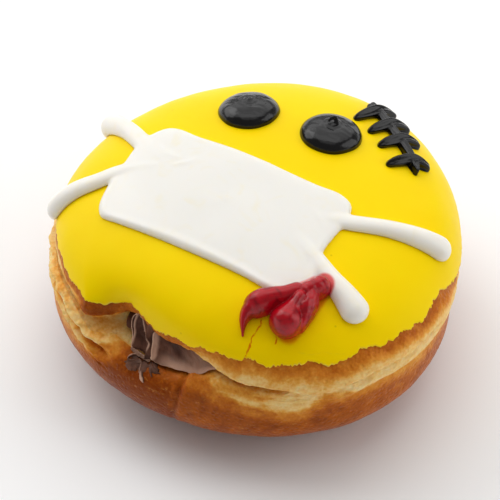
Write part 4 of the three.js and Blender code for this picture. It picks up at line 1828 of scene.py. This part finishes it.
@dataclass
class Eye:
    """An eye: a glossy blob with steep sides and a small tip where the piping lifted off."""

    piping: Piping
    node: str
    seed: int
    tip_height: float
    # Plan offsets and heights along a hook on the top
    hook: tuple = ()
    radius: float = 6.75
    height: float = 3.0
    # How far the middle lies from the solid's, and the way that the steep side and the hook face
    shift: tuple = (-0.1, 0.35)
    front: tuple = (0.43, -0.9, 0.3)

    def curl(self, centre: Array) -> Shape:
        """The hook on the top, a thin bead that rises and turns over.

        Args:
            centre: The eye's middle, a plan place.

        Returns:
            The hook as a closed shape.
        """
        count, around, sink = 60, 20, 0.2
        route = route_through(np.array(self.hook), count)
        points, normals = self.piping.dome.under_plan(centre + route[:, :2])
        points = points + normals * (self.height + route[:, 2:])
        facing = np.broadcast_to(unit(np.array(self.front)), points.shape)
        radius = lerp(0.6, 0.28, np.linspace(0, 1, count))
        return bead(points, facing, radius, 0.6 * radius, sink, around).facing_out()

    def build(self) -> None:
        """Makes the eye over its solid and dresses it."""
        grain = Grain(self.seed)
        low, high = (from_frame(corner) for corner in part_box(self.node))
        centre = ((low + high) / 2)[:2] + np.array(self.shift)

        def edge(angle: Array) -> Array:
            """The blob's outline.

            Args:
                angle: Angles round the middle in radians.

            Returns:
                Plan offsets on a slightly uneven circle.
            """
            ring = np.stack([np.cos(angle), np.sin(angle), 0 * angle], -1)
            radius = self.radius * (1 + 0.03 * grain.soft(ring * 3.0, 2.0))
            return np.stack([radius * np.cos(angle), 1.02 * radius * np.sin(angle)], -1)

        def relief(share: Array, angle: Array) -> Array:
            """The blob's height.

            Args:
                share: Shares of the way out to the edge.
                angle: Angles round the middle in radians.

            Returns:
                A crown that is steep in front, with faint marks and a curl where the piping lifted off.
            """
            facing = self.front[0] * np.cos(angle) + self.front[1] * np.sin(angle)
            steep = smoothstep(facing, -0.3, 0.8)
            crown = self.height * (1 - share ** (2.1 + 1.3 * steep)) ** lerp(0.62, 0.46, steep)
            place = np.stack([share * np.cos(angle), share * np.sin(angle), 0 * angle * share], -1)
            marks = grain.layered(place * np.array([2.0, 5.0, 1.0]), 1.0, 2)
            marks = 0.12 * marks * (1 - smoothstep(share, 0.65, 0.95))
            swirl = 0.07 * np.cos(30 * share - angle) * stretch(share, 0.05, 0.12, 0.25, 0.4)
            turn = angle - 0.6 - 9 * share
            ridge = hump(share, 0.1, 0.05) * (0.35 + 0.65 * np.cos(turn))
            tip = hump(share, 0.0, 0.075) + 0.45 * ridge
            return crown + marks + swirl + self.tip_height * tip

        shape = self.piping.patch(centre, edge, relief, 220, 90)
        if self.hook:
            shape = Shape.joined([shape, self.curl(centre)])
        shape.paint["stain"] = np.zeros(len(shape.points))
        show(self.node + "_blob", shape, (self.node,), BLACK.material())


@dataclass
class Stitches:
    """The stitches: one ridged seam and four pointed bars that arch over it."""

    piping: Piping
    seam: tuple = ((8, 37.6), (12.3, 34.9), (16.5, 31), (20.7, 27.3), (23.4, 24.6), (26.5, 20.6))
    bars: tuple = (
        ((8.2, 29.4), (10.7, 35.3), (14, 39)),
        ((12.7, 26.7), (15, 32.1), (18.9, 35.1)),
        ((16.4, 23.4), (19, 28.3), (23, 31.1)),
        ((20.3, 18.7), (23.6, 23.4), (27.8, 25.1)),
    )
    half_width: float = 1.15
    height: float = 1.8
    bar_half_width: float = 1.4
    bar_height: float = 2.35

    @staticmethod
    def grooves(share: Array, angle: Array) -> Array:
        """Three ridges along the bead's top, which wind a little."""
        return 1 + 0.12 * np.cos(angle * 5 + math.pi + 1.6 * np.sin(5 * share))

    def seam_width(self, share: Array) -> Array:
        """Half the seam's width, thinner at its end."""
        return self.half_width * (1 - 0.6 * smoothstep(share, 0.9, 1))

    def seam_rise(self, share: Array) -> Array:
        """The seam's even height."""
        return self.height + 0 * share

    def bar_width(self, share: Array) -> Array:
        """Half a bar's width, which follows a power of the sine of half a turn."""
        return self.bar_half_width * (0.4 + 0.6 * np.sin(math.pi * share) ** 0.6)

    def bar_rise(self, share: Array) -> Array:
        """A bar's height, an arch that follows a power of the sine of half a turn."""
        return self.bar_height * (0.4 + 0.6 * np.sin(math.pi * share) ** 0.7)

    def build(self) -> None:
        """Makes the stitches and dresses them."""
        seam = self.piping.stroke(self.seam, self.seam_width, self.seam_rise, ridges=self.grooves)
        bars = [
            self.piping.stroke(places, self.bar_width, self.bar_rise, around=48, ridges=self.grooves)
            for places in self.bars
        ]
        shape = Shape.joined([seam, *bars]).fused(0.11).relaxed(1)
        shape.paint["stain"] = np.zeros(len(shape.points))
        show("black_stitches", shape, ("stitches",), BLACK.material())


def threads(share: Array, angle: Array) -> Array:
    """A few round threads that wind along a strand, with slow swellings."""
    winding = 0.05 * np.abs(np.cos(2.5 * angle + 5 * share)) + 0.02 * np.cos(9 * angle - 14 * share)
    return 0.98 + winding + 0.05 * np.sin(11 * share + angle)


def coils(share: Array, angle: Array) -> Array:
    """Rings round a strand, as if it were coiled."""
    return 0.98 + 0.035 * np.abs(np.sin(16 * share + 0.8 * angle)) + 0.02 * np.cos(7 * share + 2 * angle)


def swellings(share: Array, angle: Array) -> Array:
    """A nearly even section with slow swellings."""
    return 1 + 0.03 * np.sin(9 * share + angle)


@dataclass(frozen=True)
class Strand:
    """A strand of blood: its plan places, and its half width and height for the share of its length."""

    places: tuple
    half_width: Level
    rise: Level
    lift: float
    ridges: Pattern
    along: int = 110
    around: int = 64


@dataclass
class Blood:
    """The blood: strands from a knob on the mask's corner, a round drop and a curling pointed branch."""

    piping: Piping
    # The knob, the body, the drop, a strand beside it, and the branch's shoulder and point
    strands: tuple[Strand, ...] = (
        Strand(
            ((23.3, -18.6), (22.3, -20.8), (20.8, -23.2), (19.2, -25.4)),
            lambda share: 2.25 + 0.1 * share,
            lambda share: 4.4 + 0.2 * share,
            0.3, coils, 120,
        ),
        Strand(
            ((20.6, -22.0), (21.7, -24.4), (21.8, -26.4), (21.4, -29.4)),
            lambda share: 2.1 + 0.3 * share,
            lambda share: 4.6 - 0.3 * share,
            0.3, threads,
        ),
        Strand(
            ((20.5, -23.6), (19.9, -26.4), (19.5, -29.0), (19.3, -33.3)),
            lambda share: 2.1 + 1.5 * smoothstep(share, 0.3, 0.65),
            lambda share: 4.7 + 0.9 * smoothstep(share, 0.4, 0.75),
            0.5, swellings, 130,
        ),
        Strand(
            ((22.2, -23.4), (22.5, -25.8), (22.3, -28.4), (21.5, -31.0)),
            lambda share: 1.5 + 0.1 * share,
            lambda share: 4.0 - 0.6 * share,
            0.3, threads, 100, 48,
        ),
        Strand(
            ((20.6, -22.8), (17.4, -25.8), (14.7, -27.8), (12.9, -29.7), (12.2, -32.2)),
            lambda share: 2.4 + 0.4 * smoothstep(share, 0.3, 0.7),
            lambda share: 4.4 + 0.3 * hump(share, 0.6, 0.3),
            0.4, swellings,
        ),
        Strand(
            ((13.0, -29.0), (11.7, -31.4), (11.5, -33.2), (12.5, -36.0)),
            lambda share: 1.9 * (1 - 0.88 * smoothstep(share, 0.15, 1)),
            lambda share: 3.9 * (1 - 0.8 * smoothstep(share, 0.2, 1)),
            0.2, swellings,
        ),
    )

    def build(self) -> None:
        """Makes the blood and dresses it."""
        strokes = [
            self.piping.stroke(
                strand.places, strand.half_width, strand.rise,
                strand.around, strand.along, strand.lift, strand.ridges,
            )
            for strand in self.strands
        ]
        shape = Shape.joined(strokes).fused(0.12).relaxed(2)
        shape.paint["stain"] = np.zeros(len(shape.points))
        show("red_blood", shape, ("blood",), RED.material())


@dataclass(frozen=True)
class Softbox:
    """A square studio light that faces the doughnut."""

    azimuth: float
    elevation: float
    size: float
    brightness: float
    distance: float

    def place(self, name: str, target: Vector) -> None:
        """Adds the light.

        Args:
            name: The light's name.
            target: What it faces.
        """
        away = direction(self.azimuth, self.elevation)
        lamp = bpy.data.lights.new(name, "AREA")
        lamp.size = self.size
        lamp.energy = self.brightness * math.pi * self.size ** 2
        light = bpy.data.objects.new(name, lamp)
        light.location = target + away * self.distance
        light.rotation_mode = "QUATERNION"
        light.rotation_quaternion = away.to_track_quat("Z", "Y")
        bpy.context.scene.collection.objects.link(light)


@dataclass
class Studio:
    """The pale floor, the soft lights and the camera at the photograph's angle."""

    azimuth: float = 25.5
    elevation: float = 45.8
    distance: float = 500.0
    pixels_per_millimetre: float = 4.61
    image_width: int = 500
    sensor: float = 36.0
    middle_height: float = 22.0
    aim: tuple[float, float] = (-12.5, -0.5)
    sky: float = 0.3
    # The nearest and furthest that the camera sees, half the floor's side and its drop, in metres
    view_depths: tuple[float, float] = (0.05, 20.0)
    floor_half: float = 2.0
    floor_drop: float = 0.0001
    softboxes: dict[str, Softbox] = field(default_factory=lambda: {
        "key_light": Softbox(203.0, 50.0, 2.0, 1.15, 1.3),
        "top_light": Softbox(200.0, 86.0, 1.0, 0.6, 1.2),
        "left_light": Softbox(-100.0, 33.0, 0.8, 2.0, 1.0),
        "right_light": Softbox(112.0, 22.0, 0.8, 1.6, 1.0),
    })

    def add_camera(self) -> None:
        """Adds the camera: it looks at a point beside the doughnut's middle, as the photograph is framed."""
        back = direction(self.azimuth, self.elevation)
        right = direction(self.azimuth + 90, 0)
        across, up = (offset / self.pixels_per_millimetre for offset in self.aim)
        middle = Vector(OUTLINE_CENTRE + self.middle_height * UPRIGHT)
        target = middle + right * across + back.cross(right) * up
        camera = bpy.data.objects.new("camera", bpy.data.cameras.new("camera"))
        focal_pixels = self.pixels_per_millimetre * self.distance
        camera.data.sensor_width = self.sensor
        camera.data.lens = focal_pixels / self.image_width * self.sensor
        camera.location = (target + back * self.distance) / METRE
        camera.rotation_mode = "QUATERNION"
        camera.rotation_quaternion = back.to_track_quat("Z", "Y")
        camera.data.clip_start, camera.data.clip_end = self.view_depths
        bpy.context.scene.collection.objects.link(camera)
        bpy.context.scene.camera = camera

    def add_floor(self) -> None:
        """Adds the floor, just under the doughnut's foot."""
        half, signs = self.floor_half, ((-1, -1), (1, -1), (1, 1), (-1, 1))
        corners = [(x * half, y * half, -self.floor_drop) for x, y in signs]
        mesh = bpy.data.meshes.new("floor")
        mesh.from_pydata(corners, [], [(0, 1, 2, 3)])
        floor = bpy.data.objects.new("floor", mesh)
        board = Board("pale floor")
        tint = board.mix(board.noise(300.0).ramp(0.3, 0.7), "#FCFCFB", "#F9F9F9")
        mesh.materials.append(board.finish({"Base Color": tint, "Roughness": 0.9, "Specular IOR Level": 0.1}))
        bpy.context.scene.collection.objects.link(floor)

    def add_light(self) -> None:
        """Adds the sky's even light and the softboxes."""
        world = bpy.data.worlds.new("studio")
        world.use_nodes = True
        background = world.node_tree.nodes["Background"]
        background.inputs["Color"].default_value = (1, 1, 1, 1)
        background.inputs["Strength"].default_value = self.sky
        bpy.context.scene.world = world
        for name, softbox in self.softboxes.items():
            softbox.place(name, Vector((0, 0, self.middle_height / METRE)))
        bpy.context.scene.view_settings.view_transform = "Standard"

    def build(self) -> None:
        """Sets the studio up."""
        self.add_camera()
        self.add_floor()
        self.add_light()


def main() -> None:
    """Builds the doughnut's pieces in order, then the studio."""
    logging.basicConfig(level=logging.INFO, format="%(name)s %(message)s")
    dome = Dome()
    piping = Piping(dome)
    dough = Dough(dome)
    dough.build()
    Filling(dough).build()
    Icing(dome, dough).build()
    Mask(piping).build()
    Eye(piping, "eye_left", 41, 0.35).build()
    hook = ((0.9, 0.1, -0.6), (0.6, 0.5, 0.3), (0.1, 0.6, 1.15), (-0.5, 0.1, 1.0), (-0.9, -0.4, 0.4))
    Eye(piping, "eye_right", 43, 0.25, hook).build()
    Stitches(piping).build()
    Blood(piping).build()
    Studio().build()


if __name__ == "__main__":
    main()
